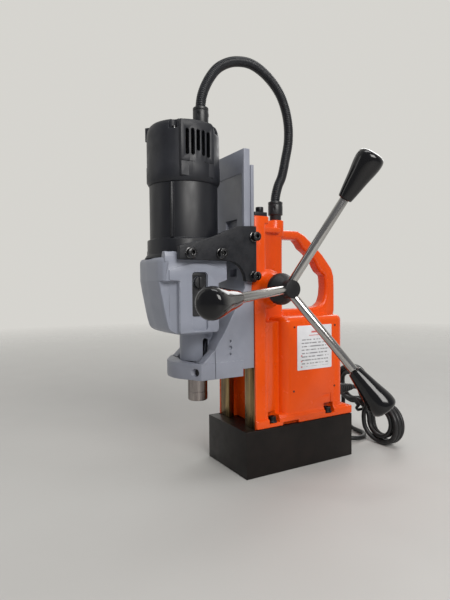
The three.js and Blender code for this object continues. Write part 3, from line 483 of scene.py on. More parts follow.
SCREW = surface(
    "screw_steel", (0.09, 0.09, 0.092), 0.30, metallic=1.0, second=(0.03, 0.03, 0.03), mottle=180,
    rough_range=0.1, grain=[(900, 0.02)], wear=(0.55, 0.55, 0.55))
SCREW_BLACK = surface(
    "black_oxide", (0.035, 0.035, 0.037), 0.35, metallic=0.8, second=(0.02, 0.02, 0.021), mottle=150,
    grain=[(900, 0.02)], wear=(0.28, 0.28, 0.28))
LAMINATION = surface(
    "lamination_steel", (0.35, 0.34, 0.33), 0.42, metallic=1.0, mottle=400, stretch=(0.2, 0.2, 6),
    grain=[(300, 0.08)])
GREEN = surface("green_plastic", (0.02, 0.30, 0.07), 0.25, second=(0.018, 0.26, 0.06), grain=[(900, 0.01)])
RED = surface("red_plastic", (0.56, 0.012, 0.010), 0.25, second=(0.50, 0.011, 0.009), grain=[(900, 0.01)])
LABEL = label_surface()


# ---- Showing a piece ----

def show(piece, material, body, slot, *replaced, angle=EDGE_ANGLE):
    shaded(piece, angle)
    piece.data.materials.clear()
    piece.data.materials.append(material)
    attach(piece, body)
    if replaced:
        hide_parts(*replaced)
    return piece


def angle_shading():
    """A node group that shades smooth and keeps edges over the angle sharp."""
    tree = bpy.data.node_groups.new("angle_shading", "GeometryNodeTree")
    tree.interface.new_socket("Geometry", in_out="INPUT", socket_type="NodeSocketGeometry")
    tree.interface.new_socket("Geometry", in_out="OUTPUT", socket_type="NodeSocketGeometry")
    whole = add_node(tree, "NodeGroupInput", {})
    angle = add_node(tree, "GeometryNodeInputMeshEdgeAngle", {}, "Unsigned Angle")
    sharp = add_node(tree, "FunctionNodeCompare", {0: angle, 1: math.radians(EDGE_ANGLE)},
                     operation="GREATER_THAN")
    smooth = add_node(tree, "GeometryNodeSetShadeSmooth", {"Geometry": whole})
    edged = add_node(tree, "GeometryNodeSetShadeSmooth", {
        "Geometry": smooth, "Selection": sharp, "Shade Smooth": False}, domain="EDGE")
    end = tree.nodes.new("NodeGroupOutput")
    tree.links.new(edged, end.inputs[0])
    return tree


ANGLE_SHADING = angle_shading()


def dress(node, material, width=0.4, segments=2):
    """A CAD node kept as it is, with its edges eased, smooth shading and a finish."""
    thing = NODES[node]
    ease_edges(thing, 0.01, width, segments, EDGE_ANGLE)
    shade = thing.modifiers.new("shade", "NODES")
    shade.node_group = ANGLE_SHADING
    thing.data.materials.clear()
    thing.data.materials.append(material)


# ---- Power cord: a lead, a tied figure-of-eight hank and a tail, in millimetres ----

CORD_RADIUS = 3.6
CORD_EXIT = (28, 84, 97)
RELIEF_LENGTH = 36
HANK = Vector((8, 172, 60))
HANK_LEAN = -0.95
PITCH = 2 * CORD_RADIUS + 0.1
WAIST_HALF = 1.5 * PITCH
WAIST_BEND = 7.1 * CORD_RADIUS
WAIST_STRAIGHT = 3
LOBE_RADIUS = 30
# For each turn: how many rings in, how many layers back, and how far round the upper lobe it starts to change
# to the next turn's place. The change takes half of the lobe.
TURNS = [(0, 0, 1 / 2), (1, 0, 1 / 3), (1, 1, 1 / 6), (0, 1, 0), (0, 2, None)]
# The lead drops into its layer over this many radians of the first lobe, and comes up to the hank through
# points this far before it.
JOIN_SWEEP = 1.5
LEAD_RUN = (16.5, 8)
TAIL_LEAVES = math.radians(125.6)
TAIL_X = -57.3
TAIL_Y = HANK.y + 1.5 * PITCH
TAIL_BEND = 30
TAIL_TURN = Vector((-20, 151))
PLUG = Vector((-46, 119, 19.5))
FLOOR_Z = CORD_RADIUS + 0.4


def in_hank(u, w, v):
    """A place in the hank: u across it, w through it, v along it, leant over with the bundle."""
    return Matrix.Rotation(HANK_LEAN, 3, "Y") @ Vector((u, w, v)) + HANK


def arc(u, v, radius, first, last, steps):
    """Points (u, v) round a centre, from one angle to another, without the first one."""
    points = []
    for count in range(1, steps + 1):
        angle = first + (last - first) * count / steps
        points.append((u + radius * math.cos(angle), v + radius * math.sin(angle)))
    return points


def eased(value, low, high):
    share = min(1, max(0, (value - low) / (high - low)))
    return share * share * (3 - 2 * share)


def ring_of(inside):
    """The lobe radius, its distance from the tie, the waist's half-width and where the two arcs meet."""
    radius = LOBE_RADIUS - inside * PITCH
    half = WAIST_HALF - inside * PITCH
    reach = math.sqrt((radius + WAIST_BEND) ** 2 - (half + WAIST_BEND) ** 2)
    return radius, WAIST_STRAIGHT + reach, half, math.atan2(reach, half + WAIST_BEND)


def lower_lobe(inside, layer, joining):
    radius, centre, half, meet = ring_of(inside)
    points = []
    start = math.pi - meet
    for u, v in arc(0, -centre, radius, start, math.tau + meet, 22):
        turned = (math.atan2(v + centre, u) - start) % math.tau
        share = eased(turned, 0, JOIN_SWEEP)
        behind = -1.5 * (1 - share) - 0.5 * share if joining else layer - 0.5
        points.append(in_hank(u, behind * PITCH, v))
    for u, v in arc(half + WAIST_BEND, -WAIST_STRAIGHT, WAIST_BEND, math.pi + meet, math.pi, 6):
        points.append(in_hank(u, (layer - 0.5) * PITCH, v))
    return points


def upper_lobe(turn):
    """Up from the tie, round above it, changing to the next turn's place, and down to the tie again."""
    inside, layer, change = TURNS[turn]
    radius, centre, half, meet = ring_of(inside)
    deep = (layer - 0.5) * PITCH
    points = []
    for u, v in arc(half + WAIST_BEND, WAIST_STRAIGHT, WAIST_BEND, math.pi, math.pi - meet, 6):
        points.append(in_hank(u, deep, v))
    if change is None:
        return points + [in_hank(u, deep, v) for u, v in arc(0, centre, radius, -meet, TAIL_LEAVES, 16)]
    after, back, _ = TURNS[turn + 1]
    next_radius, next_centre, next_half, next_meet = ring_of(after)
    steps = 24
    old = arc(0, centre, radius, -meet, math.pi + meet, steps)
    new = arc(0, next_centre, next_radius, -next_meet, math.pi + next_meet, steps)
    for count in range(steps):
        share = eased((count + 1) / steps, change, change + 0.5)
        u, v = (a + (b - a) * share for a, b in zip(old[count], new[count]))
        points.append(in_hank(u, deep + (back - layer) * PITCH * share, v))
    for u, v in arc(-next_half - WAIST_BEND, WAIST_STRAIGHT, WAIST_BEND, next_meet, 0, 6):
        points.append(in_hank(u, (back - 0.5) * PITCH, v))
    for u, v in arc(-next_half - WAIST_BEND, -WAIST_STRAIGHT, WAIST_BEND, 0, -next_meet, 6):
        points.append(in_hank(u, (back - 0.5) * PITCH, v))
    return points


def lead_route():
    """From the strain relief, over the tie's front, to the hank's lower lobe."""
    x, y, z = CORD_EXIT
    start = y + RELIEF_LENGTH
    bend = HANK.y - 1.5 * PITCH - start
    route = [Vector((x, y, z)), Vector((x, y + RELIEF_LENGTH / 2, z)), Vector((x, start, z))]
    for degrees, x in ((20, 27.8), (40, 27.1), (60, 25.2), (76, 22), (90, 18.6)):
        turned = math.radians(degrees)
        route.append(Vector((x, start + bend * math.sin(turned), z - bend * (1 - math.cos(turned)))))
    radius, centre, _, meet = ring_of(0)
    first = in_hank(-radius * math.cos(meet), -1.5 * PITCH, radius * math.sin(meet) - centre)
    heading = in_hank(-math.sin(meet), 0, -math.cos(meet)) - HANK
    far, near = LEAD_RUN
    return route + [first - heading * far + Vector((1.5, 0, 0)), first - heading * near, first]


def tail_route():
    """Down from the hank to the floor, round on it, and up to the plug."""
    route = [Vector((TAIL_X, TAIL_Y, height)) for height in (72, 60, 48, 36)]
    x, z = TAIL_X + TAIL_BEND, FLOOR_Z + TAIL_BEND
    for degrees in (205, 230, 252, 270):
        turned = math.radians(degrees)
        route.append(Vector((x + TAIL_BEND * math.cos(turned), TAIL_Y, z + TAIL_BEND * math.sin(turned))))
    round_floor = (TAIL_Y - PLUG.y) / 2
    for degrees, rise in ((65, 0), (40, 0), (15, 0.1), (-15, 1.2), (-40, 4), (-65, 9), (-88, 14)):
        turned = math.radians(degrees)
        x = TAIL_TURN.x + round_floor * math.cos(turned)
        route.append(Vector((x, TAIL_TURN.y + round_floor * math.sin(turned), FLOOR_Z + rise)))
    return route + [PLUG + Vector((17, 0, -0.3)), PLUG + Vector((10, 0, 0))]


def cord_route():
    route = lead_route()
    for turn, (inside, layer, _) in enumerate(TURNS):
        route += lower_lobe(inside, layer, turn == 0) + upper_lobe(turn)
    return route + tail_route()


def power_cord():
    data = bpy.data.curves.new("cord", "CURVE")
    data.dimensions = "3D"
    points = open_curve(cord_route(), 4)
    spline = data.splines.new("POLY")
    spline.points.add(len(points) - 1)
    for place, point in zip(points, spline.points):
        point.co = (*(place * MM), 1)
    data.bevel_depth = CORD_RADIUS * MM
    data.bevel_resolution = 4
    data.use_fill_caps = True
    data.materials.append(RUBBER)
    cord = new_object("cord", data)
    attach(cord, "stand")
    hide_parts("power_cord", "cord_hank", "cord_tail")
    length = sum((b - a).length for a, b in zip(points, points[1:])) * MM
    return cord, length


def power_plug():
    """A round moulded plug lying on its side, its two pins towards -X."""
    turn = at(*PLUG) @ ALONG_LEFT
    body = lathe("plug_body", [
        (0, -19), (5.4, -19), (6.4, -18), (7.2, -12), (8.2, -5), (11, -1.5), (15, 2), (17.6, 5.5), (18.5, 9),
        (18.5, 31), (17.6, 33.4), (16.4, 34), (15.8, 33), (0, 33),
    ], 64, turn)
    grooves = []
    for side in (-1, 1):
        for row in range(4):
            middle, low = 15.6 * side, 8 + 5 * row
            groove = block("groove", middle - 4, middle + 4, -13, 13, low, low + 2.2)
            groove.data.transform(turn @ at(2.4 * side))
            grooves.append(groove)
    body = bevelled(minus(body, *grooves), 0.3)
    show(body, RUBBER, "stand", "black_plastic", "power_plug")
    pieces = [body]
    for index, across in enumerate((-9.5, 9.5)):
        pin = lathe(f"plug_pin_{index + 1}", [(0, 30), (2.4, 30), (2.4, 51.6), (1.9, 52.6), (0, 53)], 32,
                    turn @ at(0, across, 0))
        show(pin, BRIGHT, "stand", "bright_steel")
        pieces.append(pin)
    return pieces


def cord_tie():
    """A strap round the hank's waist, with its free end."""
    inner = 2 * PITCH + 0.6
    outer = inner + 1.2
    strap = prism("tie_strap", box_outline(-outer, outer, -outer, outer, 7), -2.6, 2.6)
    strap = minus(strap, prism("tie_hole", box_outline(-inner, inner, -inner, inner, 6), -6, 6))
    end = prism("tie_end", box_outline(-4, 4, -inner - 3.4, -inner - 1.4, 0.8), -4, 9)
    strap = bevelled(joined(strap, end), 0.35)
    strap.data.transform(Matrix.Translation(HANK * MM) @ Matrix.Rotation(HANK_LEAN, 4, "Y"))
    return show(strap, RUBBER, "stand", "black_plastic", "cord_tie")


CORD, CORD_LENGTH = power_cord()
ON_CORD = power_plug() + [cord_tie()]


# ---- Corrugated conduit from the stand to the motor ----

CONDUIT_RADIUS = 7.0
MOTOR_GLAND_Z = 470.9
STAND_GLAND_Z = 356.3
GLAND_FLOOR = 8.3
RIB_PITCH = 2.7
RIB_HEIGHT = 0.75
# How far out the skin stands at six places along a rib, as shares of the rib's height.
RIB_SKIN = [0, 0.25, 0.85, 1, 1, 0.6]
CONDUIT_SIDES = 28


def conduit_route():
    """The CAD's route in the machine's middle plane, as (y, z)."""
    start = MOTOR_GLAND_Z + GLAND_FLOOR
    end = STAND_GLAND_Z + GLAND_FLOOR
    return [
        (MOTOR_GLAND_Y, start), (MOTOR_GLAND_Y, start + 14), (MOTOR_GLAND_Y, start + 27), (-127.5, 523),
        (-118, 543), (-105, 560), (-89, 571), (-72, 577), (-52, 578.5), (-33, 573), (-14, 561), (2, 544),
        (12, 523), (17, 500), (17, 476), (12, 452), (5, 424), (-2.5, 408),
        (GLAND_Y, end + 25), (GLAND_Y, end + 12), (GLAND_Y, end),
    ]


def evenly_spaced(points, gap):
    spaced = [points[0]]
    left = gap
    for a, b in zip(points, points[1:]):
        length = (b - a).length
        done = 0.0
        while length - done >= left:
            done += left
            spaced.append(a.lerp(b, done / length))
            left = gap
        left -= length - done
    return spaced


def conduit():
    """A tube whose skin rises and falls once every rib."""
    knots = [Vector((0, y, z)) for y, z in conduit_route()]
    line = evenly_spaced(open_curve(knots, 16), RIB_PITCH / len(RIB_SKIN))
    across = Vector((1, 0, 0))
    rings = []
    for index, here in enumerate(line):
        ahead = (line[min(index + 1, len(line) - 1)] - line[max(index - 1, 0)]).normalized()
        outward = ahead.cross(across)
        radius = CONDUIT_RADIUS - RIB_HEIGHT * (1 - RIB_SKIN[index % len(RIB_SKIN)])
        angles = [2 * math.pi * side / CONDUIT_SIDES for side in range(CONDUIT_SIDES)]
        rings.append([here + (across * math.cos(angle) + outward * math.sin(angle)) * radius
                      for angle in angles])
    tube = lofted("corrugated_conduit", rings)
    shaded(tube, 60)
    tube.data.materials.append(CONDUIT)
    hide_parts("conduit")
    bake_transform(tube)
    return tube


conduit()


# ---- Feed handwheel: three spokes lean outwards from a point on the feed shaft's axis ----

HUB_APEX = 91.6  # that point's distance along x
SPOKE_TILT = math.radians(29.4)
SPOKE_PHASES = [71, 184, 297.8]
SPOKE_RADIUS = 5.7
SPOKE_START = 10.5
KNOB_START = 131.5
KNOB_END = 192.8


def spoke_matrix(phase):
    turn = math.radians(phase)
    direction = Vector((math.sin(SPOKE_TILT), math.cos(SPOKE_TILT) * math.cos(turn),
                        math.cos(SPOKE_TILT) * math.sin(turn)))
    return at(HUB_APEX, FEED_Y, FEED_Z) @ direction.to_track_quat("Z", "Y").to_matrix().to_4x4()


def knob_profile():
    length = KNOB_END - KNOB_START
    outer = [(8.4, 0.6), (9.0, 2.2), (10.9, 0.21 * length), (13.3, 0.46 * length), (15.9, 0.68 * length),
             (16.8, 0.82 * length), (15.9, 0.92 * length), (12.6, 0.975 * length), (7, 0.997 * length)]
    curve = [(point.x, point.y) for point in open_curve(outer, 5)]
    return [(0, 14), (5.9, 14), (5.9, 0.4), (6.3, 0), (7.8, 0)] + curve + [(0, length)]


def feed_wheel():
    hub = lathe("hub", [
        (0, 75), (19.8, 75), (20.5, 75.4), (20.9, 76.2), (20.9, 80.8), (20.5, 82.2), (19.5, 84), (17.8, 86.5),
        (15.6, 89.4), (13.6, 91.8), (12.4, 93.3), (11.8, 95), (11.8, 103.3), (11.4, 104.1), (10.6, 104.5),
        (0, 104.5),
    ], 96, FEED_AXIS)
    show(hub, HUB, "feed_wheel", "hub_black", "feed_hub", angle=50)
    for index, phase in enumerate(SPOKE_PHASES):
        place = spoke_matrix(phase)
        spoke = lathe(f"spoke_bar_{index + 1}", [
            (0, SPOKE_START), (SPOKE_RADIUS, SPOKE_START), (SPOKE_RADIUS, KNOB_START + 12),
            (SPOKE_RADIUS - 0.6, KNOB_START + 13), (0, KNOB_START + 13)], 64)
        show(spoke, POLISHED, "feed_wheel", "bright_steel", f"spoke_{index + 1}")
        spoke.matrix_world = place
        knob = lathe(f"knob_grip_{index + 1}", knob_profile(), 72, place @ at(0, 0, KNOB_START))
        show(knob, KNOB, "feed_wheel", "knob_black", f"knob_{index + 1}", angle=50)
    dress("feed_shaft", BRIGHT, 0.2)


feed_wheel()


# ---- Stand ----

STAND_BASE = 64.3
FLANGE_TOP = 76
COLUMN_TOP = 354
BOX = {"front": -30, "back": 84, "top": 215, "face": 49}
WINDOW = {"front": -16, "back": 68, "low": 94, "high": 199}
BOLT_X = 46.4
BOLT_Y = (-48, 52)
RECESS = {"radius": 8.8, "low": 70, "high": 85}
# The handle from the side, as (y, z) and the corner's radius.
HANDLE = [
    (-12, 342), (28, 342, 10), (41, 336, 12), (52, 327.5, 14), (76, 307.5, 20), (95.5, 285.5, 14),
    (99.8, 273, 12), (100.5, 256, 20), (100.5, 219, 12), (96, 204, 10), (82, 194), (-6, 194), (-6, 224),
    (44, 224, 10), (68, 226.5, 10), (77, 233, 8), (81, 244, 10), (82.3, 258, 14), (81, 274, 5),
    (71.5, 280.3, 6), (66, 288, 4), (61.5, 296.5, 5), (47, 309, 5), (37, 315.5, 4), (32.5, 322, 4),
    (26, 328.5, 5), (-12, 328.5),
]


def mirror_outline(half):
    return half + [(-corner[0], *corner[1:]) for corner in reversed(half)]


def column():
    half = [(50, -77.7), (50, -61.5, 2.5), (46, -57.5, 3), (34, -53, 6), (21, -46, 9), (15, -37, 8),
            (13, -26, 8), (13, -6.5, 4), (8, -1.5, 4)]
    shaft = prism("column", filleted(mirror_outline(half)), STAND_BASE, COLUMN_TOP)
    ears = filleted(mirror_outline([(50, -77.7), (50, -52, 6)]))
    rim = bevelled(prism("rim", ears, COLUMN_TOP - 9.5, COLUMN_TOP), 1.2, 3)
    shelf = bevelled(block("shelf", -20, 20, -61.5, -12, 336, 344), 2.2, 3)
    boss = bevelled(prism("gland_boss", box_outline(-14, 14, -21, 1, 8), 331.4, 356), 1.5, 3)
    return [shaft, rim, shelf, boss]


def carry_handle():
    return bevelled(prism("carry_handle", filleted(HANDLE, 10), -11, 11, sideways), 5, 5, 50)


def terminal_box():
    plan = box_outline(-BOX["face"], BOX["face"], BOX["front"], BOX["back"], 14)
    return bevelled(prism("terminal_box", plan, 60, BOX["top"]), 8, 5, 50)


def feed_boss():
    return lathe("feed_boss", [
        (0, 40), (27, 40), (27, 48), (25, 50.2), (22.4, 52.2), (20.6, 55), (19.6, 59), (19.2, 64),
        (19.2, 73.6), (18.2, 74.7), (0, 74.7),
    ], 72, FEED_AXIS)


def stand_adds():
    flange = bevelled(prism("flange", box_outline(-53, 53, -77.7, 97, 3), STAND_BASE, FLANGE_TOP), 1.6, 3)
    fillet = bevelled(block("flange_fillet", -51, 51, -58, 88, 70, 79.5), 3.4, 4, 50)
    web_half = [(49.2, -62), (48, -54), (45, -46), (41, -38.5), (37, -32), (37, -26)]
    web = prism("web", filleted(mirror_outline(web_half)), STAND_BASE, 209)
    far_boss = rod("far_boss", 17, -57, 0, FEED_AXIS)
    return [flange, fillet, *column(), carry_handle(), terminal_box(), web, feed_boss(), far_boss]


def stand_cuts():
    cuts = [
        block("gib_channel", -46.9, 46.9, -90, -66, 50, 365),
        block("tail_channel", -27.2, 27.2, -90, -61, 50, 365),
        rod("pinion_room", 15, -10, 10, FEED_AXIS),
        rod("shaft_bore", 7.8, -80, 80, FEED_AXIS),
        block("switch_room", -44, 44, -24, 78, 84, 209),
        block("switch_window", -60, -43, WINDOW["front"], WINDOW["back"], WINDOW["low"], WINDOW["high"]),
        rod("conduit_way", 5, 203, 360, at(0, GLAND_Y, 0)),
        rod("cord_way", 7.8, -20, 20, at(*CORD_EXIT) @ ALONG_Y),
        prism("cable_notch", filleted([(-34, 60), (-6, 60), (-6, 69, 2), (-34, 69, 2)]), 47, 60, sideways),
    ]
    radius, low, high = RECESS["radius"], RECESS["low"], RECESS["high"]
    for side in (-1, 1):
        x0, x1 = sorted((side * BOLT_X, side * (BOLT_X + 20)))
        for y in BOLT_Y:
            cuts.append(rod("recess", radius, low, high, at(side * BOLT_X, y, 0)))
            cuts.append(block("recess_open", x0, x1, y - radius, y + radius, low, high))
    hook = filleted([(41, 99), (57.5, 99), (57.5, 79), (53.5, 79), (53.5, 95, 1), (41, 95)])
    return cuts + [prism("relief", hook, BOX["face"] - 1.2, 60, sideways)]


def stand_housing():
    body = minus(joined(*stand_adds()), *stand_cuts())
    bevelled(body, 0.5, 2, 42)
    show(body, ORANGE, "stand", "orange_enamel", "stand_housing", angle=44)


def label():
    low, high = (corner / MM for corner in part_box("rating_label"))
    outline = box_outline(low.y, high.y, low.z, high.z, 1.5)
    plate = prism("label_plate", outline, low.x - 0.25, high.x, sideways)
    show(bevelled(plate, 0.12), LABEL, "stand", "label_paper", "rating_label")
    for index, (y, z) in enumerate([(-10.5, 200.5), (65, 200), (-12, 109), (64, 109)]):
        profile = [(0, -0.4), (1.5, -0.4), (1.5, 0.2), (1.1, 0.7), (0, 0.9)]
        rivet = lathe(f"cover_rivet_{index + 1}", profile, 24, at(BOX["face"], y, z) @ ALONG_X)
        show(rivet, SCREW_BLACK, "stand", "zinc_screw")


def gland(name, height, body, place, node):
    profile = [
        (0, 0), (8.2, 0), (8.6, 0.4), (8.6, 7.4), (9.0, 7.8), (10.4, 8.0), (10.8, 8.5),
        (10.8, height - 5.2), (10.3, height - 4.9), (10.3, height - 4.5), (10.8, height - 4.2),
        (10.8, height - 0.8), (10.2, height - 0.2), (9.4, height), (7.6, height), (7.35, height - 0.4),
        (7.35, 8), (0, 8),
    ]
    shell = lathe(f"{name}_shell", profile, 64, place)
    slots = []
    for index in range(4):
        angle = math.radians(45 + 90 * index)
        slot = block("gland_slot", 9.3, 12, -1.5, 1.5, height - 13.5, height - 8.4)
        slot.data.transform(place @ Matrix.Rotation(angle, 4, "Z"))
        slots.append(slot)
    shell = bevelled(minus(shell, *slots), 0.25)
    show(shell, PLASTIC, body, "black_plastic", node)


# The switch panel's face along x, and the buttons' places on it as (y, z).
PANEL_FACE = -52.5
START_PLACE = (50, 170)
STOP_PLACE = (2, 170)


def stand_parts():
    stand_housing()
    label()
    gland("stand_gland", 28, "stand", at(0, GLAND_Y, STAND_GLAND_Z), "stand_gland")
    dress("magnet_block", MAGNET_BLACK, 0.7, 3)
    dress("magnet_potting", RESIN, 0.2)
    dress("magnet_coil", COPPER, 0.2)
    dress("column_cap", CASTING_BLACK, 0.4)
    for side in ("right", "left"):
        dress(f"gib_{side}", BRASS, 0.4)
        dress(f"cap_plate_screw_{side}", SCREW_BLACK, 0.25)
        for row in ("front", "rear"):
            dress(f"flange_bolt_{row}_{side}", SCREW_BLACK, 0.3)
    dress("control_panel", PLASTIC, 0.6, 3)
    dress("magnet_switch", RED, 0.5, 3)


def on_panel(y, z):
    return at(PANEL_FACE, y, z) @ ALONG_LEFT


def push_button(name, y, z, material, slot):
    profile = [(0, -9), (8.8, -9), (8.8, 3.2), (8.5, 4.3), (7.8, 4.9), (6.9, 5.0), (6.2, 4.6), (0, 4.3)]
    cap = lathe(f"{name}_cap", profile, 64, on_panel(y, z))
    show(cap, material, name, slot, name, angle=50)


def panel_fittings():
    """Rings round the push buttons' holes, a frame round the rocker's, and the panel's screws."""
    ring = [(9.5, -1), (12.6, -1), (12.6, 1.3), (12.0, 2.1), (10.3, 2.1), (9.5, 1.4), (9.5, -1)]
    for index, place in enumerate([START_PLACE, STOP_PLACE]):
        collar = lathe(f"button_collar_{index + 1}", ring, 64, on_panel(*place))
        show(collar, PLASTIC, "stand", "black_plastic")
    rim = prism("rocker_rim", box_outline(13.5, 38.5, 109.5, 146.5, 3), -54.1, -52, sideways)
    hole = prism("rocker_hole", box_outline(16.6, 35.4, 112.6, 143.4, 0.5), -60, -50, sideways)
    show(bevelled(minus(rim, hole), 0.5, 3), PLASTIC, "stand", "black_plastic")
    corners = [(y, z) for z in (WINDOW["low"], WINDOW["high"]) for y in (WINDOW["front"], WINDOW["back"])]
    for index, (y, z) in enumerate(corners):
        profile = [(0, -0.5), (3.2, -0.5), (3.2, 0.8), (2.4, 1.7), (0, 1.9)]
        head = lathe(f"panel_screw_{index + 1}", profile, 32, on_panel(y, z))
        slot = block("panel_slot", -55, -53.6, y - 2.2, y + 2.2, z - 0.45, z + 0.45)
        show(minus(head, slot), SCREW, "stand", "zinc_screw")


def strain_relief():
    profile = [(0, -3), (7.4, -3), (7.4, 0.35), (11, 0.35), (11.2, 0.8), (11.2, 4.6), (10.6, 5.2), (9.0, 5.6)]
    for rib in range(6):
        start = 7.2 + 4.6 * rib
        radius = 8.9 - 0.72 * rib
        profile += [(radius - 1.5, start - 0.9), (radius - 1.5, start), (radius, start + 0.5),
                    (radius - 0.05, start + 2.9), (radius - 0.5, start + 3.4)]
    end = RELIEF_LENGTH
    profile += [(CORD_RADIUS + 0.9, end - 0.6), (CORD_RADIUS + 0.2, end), (0, end)]
    relief = lathe("ribbed_strain_relief", profile, 48, at(*CORD_EXIT) @ ALONG_Y)
    show(relief, RUBBER, "stand", "cord_black", "strain_relief", angle=50)


stand_parts()
push_button("start_button", *START_PLACE, GREEN, "green_plastic")
push_button("stop_button", *STOP_PLACE, RED, "red_plastic")
panel_fittings()
strain_relief()


# ---- Motor ----

GEARBOX = {"half": 45, "front": -213, "back": -117, "base": 199, "top": 296.5}
# The ear that stands up from the gearbox beside the motor, with a screw hole in it.
LUG = {"inner": 33, "front": -205, "back": -188, "height": 7.3, "screw_x": 40, "screw_y": -199}
MOTOR = {"radius": 45.4, "flange_radius": 48.9, "half": 47.2, "base": 296.8, "case_top": 392,
         "cap_top": 470.6, "cap_radius": 48.7}
CAP_FLAT = {"front": -24.5, "back": 21.7, "low": 398, "high": 466.7, "x": 46.6}
CAP_SCREW = {"radius": 42.2, "angle": 0.7, "z": 457}


def motor_case():
    radius, base, top = MOTOR["radius"], MOTOR["base"], MOTOR["case_top"]
    flange, half = MOTOR["flange_radius"], MOTOR["half"]
    barrel = lathe("motor_barrel", [
        (0, base), (52.8, base), (flange + 0.4, base + 5.2), (flange, base + 5.4), (flange, 319.4),
        (flange - 0.4, 320.6), (radius + 0.5, 321.6), (radius, 322.4), (radius, top), (41.6, top),
        (41.6, 330), (0, 330),
    ], 128)
    reach = prism("motor_reach", box_outline(-half, half, -55, 49.5, 3), base - 1, top + 1)
    shell = shared(barrel, reach)
    ear_front, ear_back = LUG["front"] - 3 - MOTOR_Y, LUG["back"] + 0.4 - MOTOR_Y
    ear_room = block("ear_room", LUG["inner"] - 0.4, 60, ear_front, ear_back,
                     base - 2, GEARBOX["top"] + LUG["height"] + 0.3)
    shell = minus(shell, rod("rotor_room", 40, base + 6, 340, sides=96), ear_room)
    for side in (-1, 1):
        x = side * 33
        ridge = block("ridge", x - 2, x + 2, -33.5, -29.5, 322, top - 0.5)
        shell = joined(shell, bevelled(ridge, 0.8))
    bevelled(shell, 0.4)
    shell.data.transform(MOTOR_AXIS)
    show(shell, MOTOR_BLACK, "carriage", "motor_black", "motor_case", angle=30)


def cap_cuts(side):
    """One side's vent slots, and the notches over its two screws."""
    cuts = []
    for slot in range(-2, 3):
        middle = 7.3 * slot - 1
        foot = 429.5 if slot == 0 else 424
        drop = 1.2 if slot == 2 else 0
        head = 456 - drop + (0.8 if slot == -1 else 0)
        outline = box_outline(middle - 2.3, middle + 2.3, foot - drop, head, 2.2)
        cuts.append(side_prism("vent", outline, side, 24, 52))
    low, high = CAP_SCREW["z"], MOTOR["cap_top"] + 5
    for angle in (CAP_SCREW["angle"], -CAP_SCREW["angle"]):
        x = side * CAP_SCREW["radius"] * math.cos(angle)
        y = CAP_SCREW["radius"] * math.sin(angle)
        cuts.append(rod("notch", 5.4, low, high, at(x, y, 0)))
        away = block("notch_open", 0, 12, -5.4, 5.4, low, high)
        away.data.transform(at(x, y, 0) @ Matrix.Rotation(math.atan2(y, x), 4, "Z"))
        cuts.append(away)
    return cuts


def motor_cap():
    radius, top = MOTOR["cap_radius"], MOTOR["cap_top"]
    low = MOTOR["case_top"] + 0.3
    crown = lathe("cap_crown", [
        (0, low), (radius - 2.6, low), (radius - 1.2, low + 2.4), (radius, low + 4.6), (radius, 415.6),
        (radius - 0.5, 416.4), (radius - 0.5, 453), (radius - 0.9, 458.5), (radius - 2.0, 463.5),
        (radius - 3.8, 467.2), (radius - 6.2, 469.4), (radius - 9.5, top), (0, top),
    ], 128)
    x, front, back = CAP_FLAT["x"], CAP_FLAT["front"], CAP_FLAT["back"]
    flats = prism("cap_flats", filleted([
        (front, CAP_FLAT["low"]), (back, CAP_FLAT["low"]), (back, CAP_FLAT["high"], 6.5),
        (front, CAP_FLAT["high"], 0.01)]), -x, x, sideways)
    line = block("cap_line", -x - 1, x + 1, front - 1, back + 1, 415.7, 416.3)
    line = minus(line, block("cap_line_core", -x + 0.35, x - 0.35, -40, 40, 400, 430))
    body = joined(crown, bevelled(flats, 0.7, 2))
    hole = rod("cap_conduit_hole", 5, 460, top + 4, at(0, MOTOR_GLAND_Y - MOTOR_Y, 0))
    body = minus(body, rod("cap_room", 41.6, low - 1, 448), rod("cap_room_top", 33, 447, 464), line, hole,
                 *cap_cuts(-1), *cap_cuts(1))
    bevelled(body, 0.35)
    body.data.transform(MOTOR_AXIS)
    show(body, CAP_BLACK, "carriage", "black_plastic", "motor_cap", angle=34)


def cap_screws():
    reach = CAP_SCREW["radius"] - 1.2
    places = [(side, angle) for side in (-1, 1) for angle in (CAP_SCREW["angle"], -CAP_SCREW["angle"])]
    profile = [(0, 0.2), (4.1, 0.2), (4.1, 1.1), (3.5, 1.2), (3.5, 3.2), (2.9, 4.0), (0, 4.2)]
    for number, (side, angle) in enumerate(places, 1):
        place = at(side * reach * math.cos(angle), MOTOR_Y + reach * math.sin(angle), CAP_SCREW["z"])
        screw = lathe(f"cap_screw_{number}", profile, 32, place)
        cross = [block("cross", -2.2, 2.2, -0.4, 0.4, 2.6, 6) for turn in (0, 1)]
        for turn, arm in enumerate(cross):
            arm.data.transform(place @ Matrix.Rotation(turn * math.pi / 2 + 0.4, 4, "Z"))
        show(minus(screw, *cross), SCREW, "carriage", "zinc_screw")


motor_case()
motor_cap()
cap_screws()
gland("motor_gland", 31, "carriage", at(0, MOTOR_GLAND_Y, MOTOR_GLAND_Z), "motor_gland")
dress("armature", COPPER, 0.2)
dress("stator", LAMINATION, 0.2)


# ---- Gearbox, spindle and selector ----

# The raised pad on each side, as (y, z) and the corner's radius.
PAD = [
    (-186, 201, 2), (-133, 201, 3), (-131, 206, 2), (-131, 264, 2), (-118.5, 268, 2), (-118.5, 281, 3),
    (-133, 286, 8), (-150, 289.3, 20), (-168, 289.3, 20), (-186, 285.5, 8), (-200, 281), (-200, 268),
    (-186, 267, 2),
]
SELECTOR = {"y": -158, "z": 265}


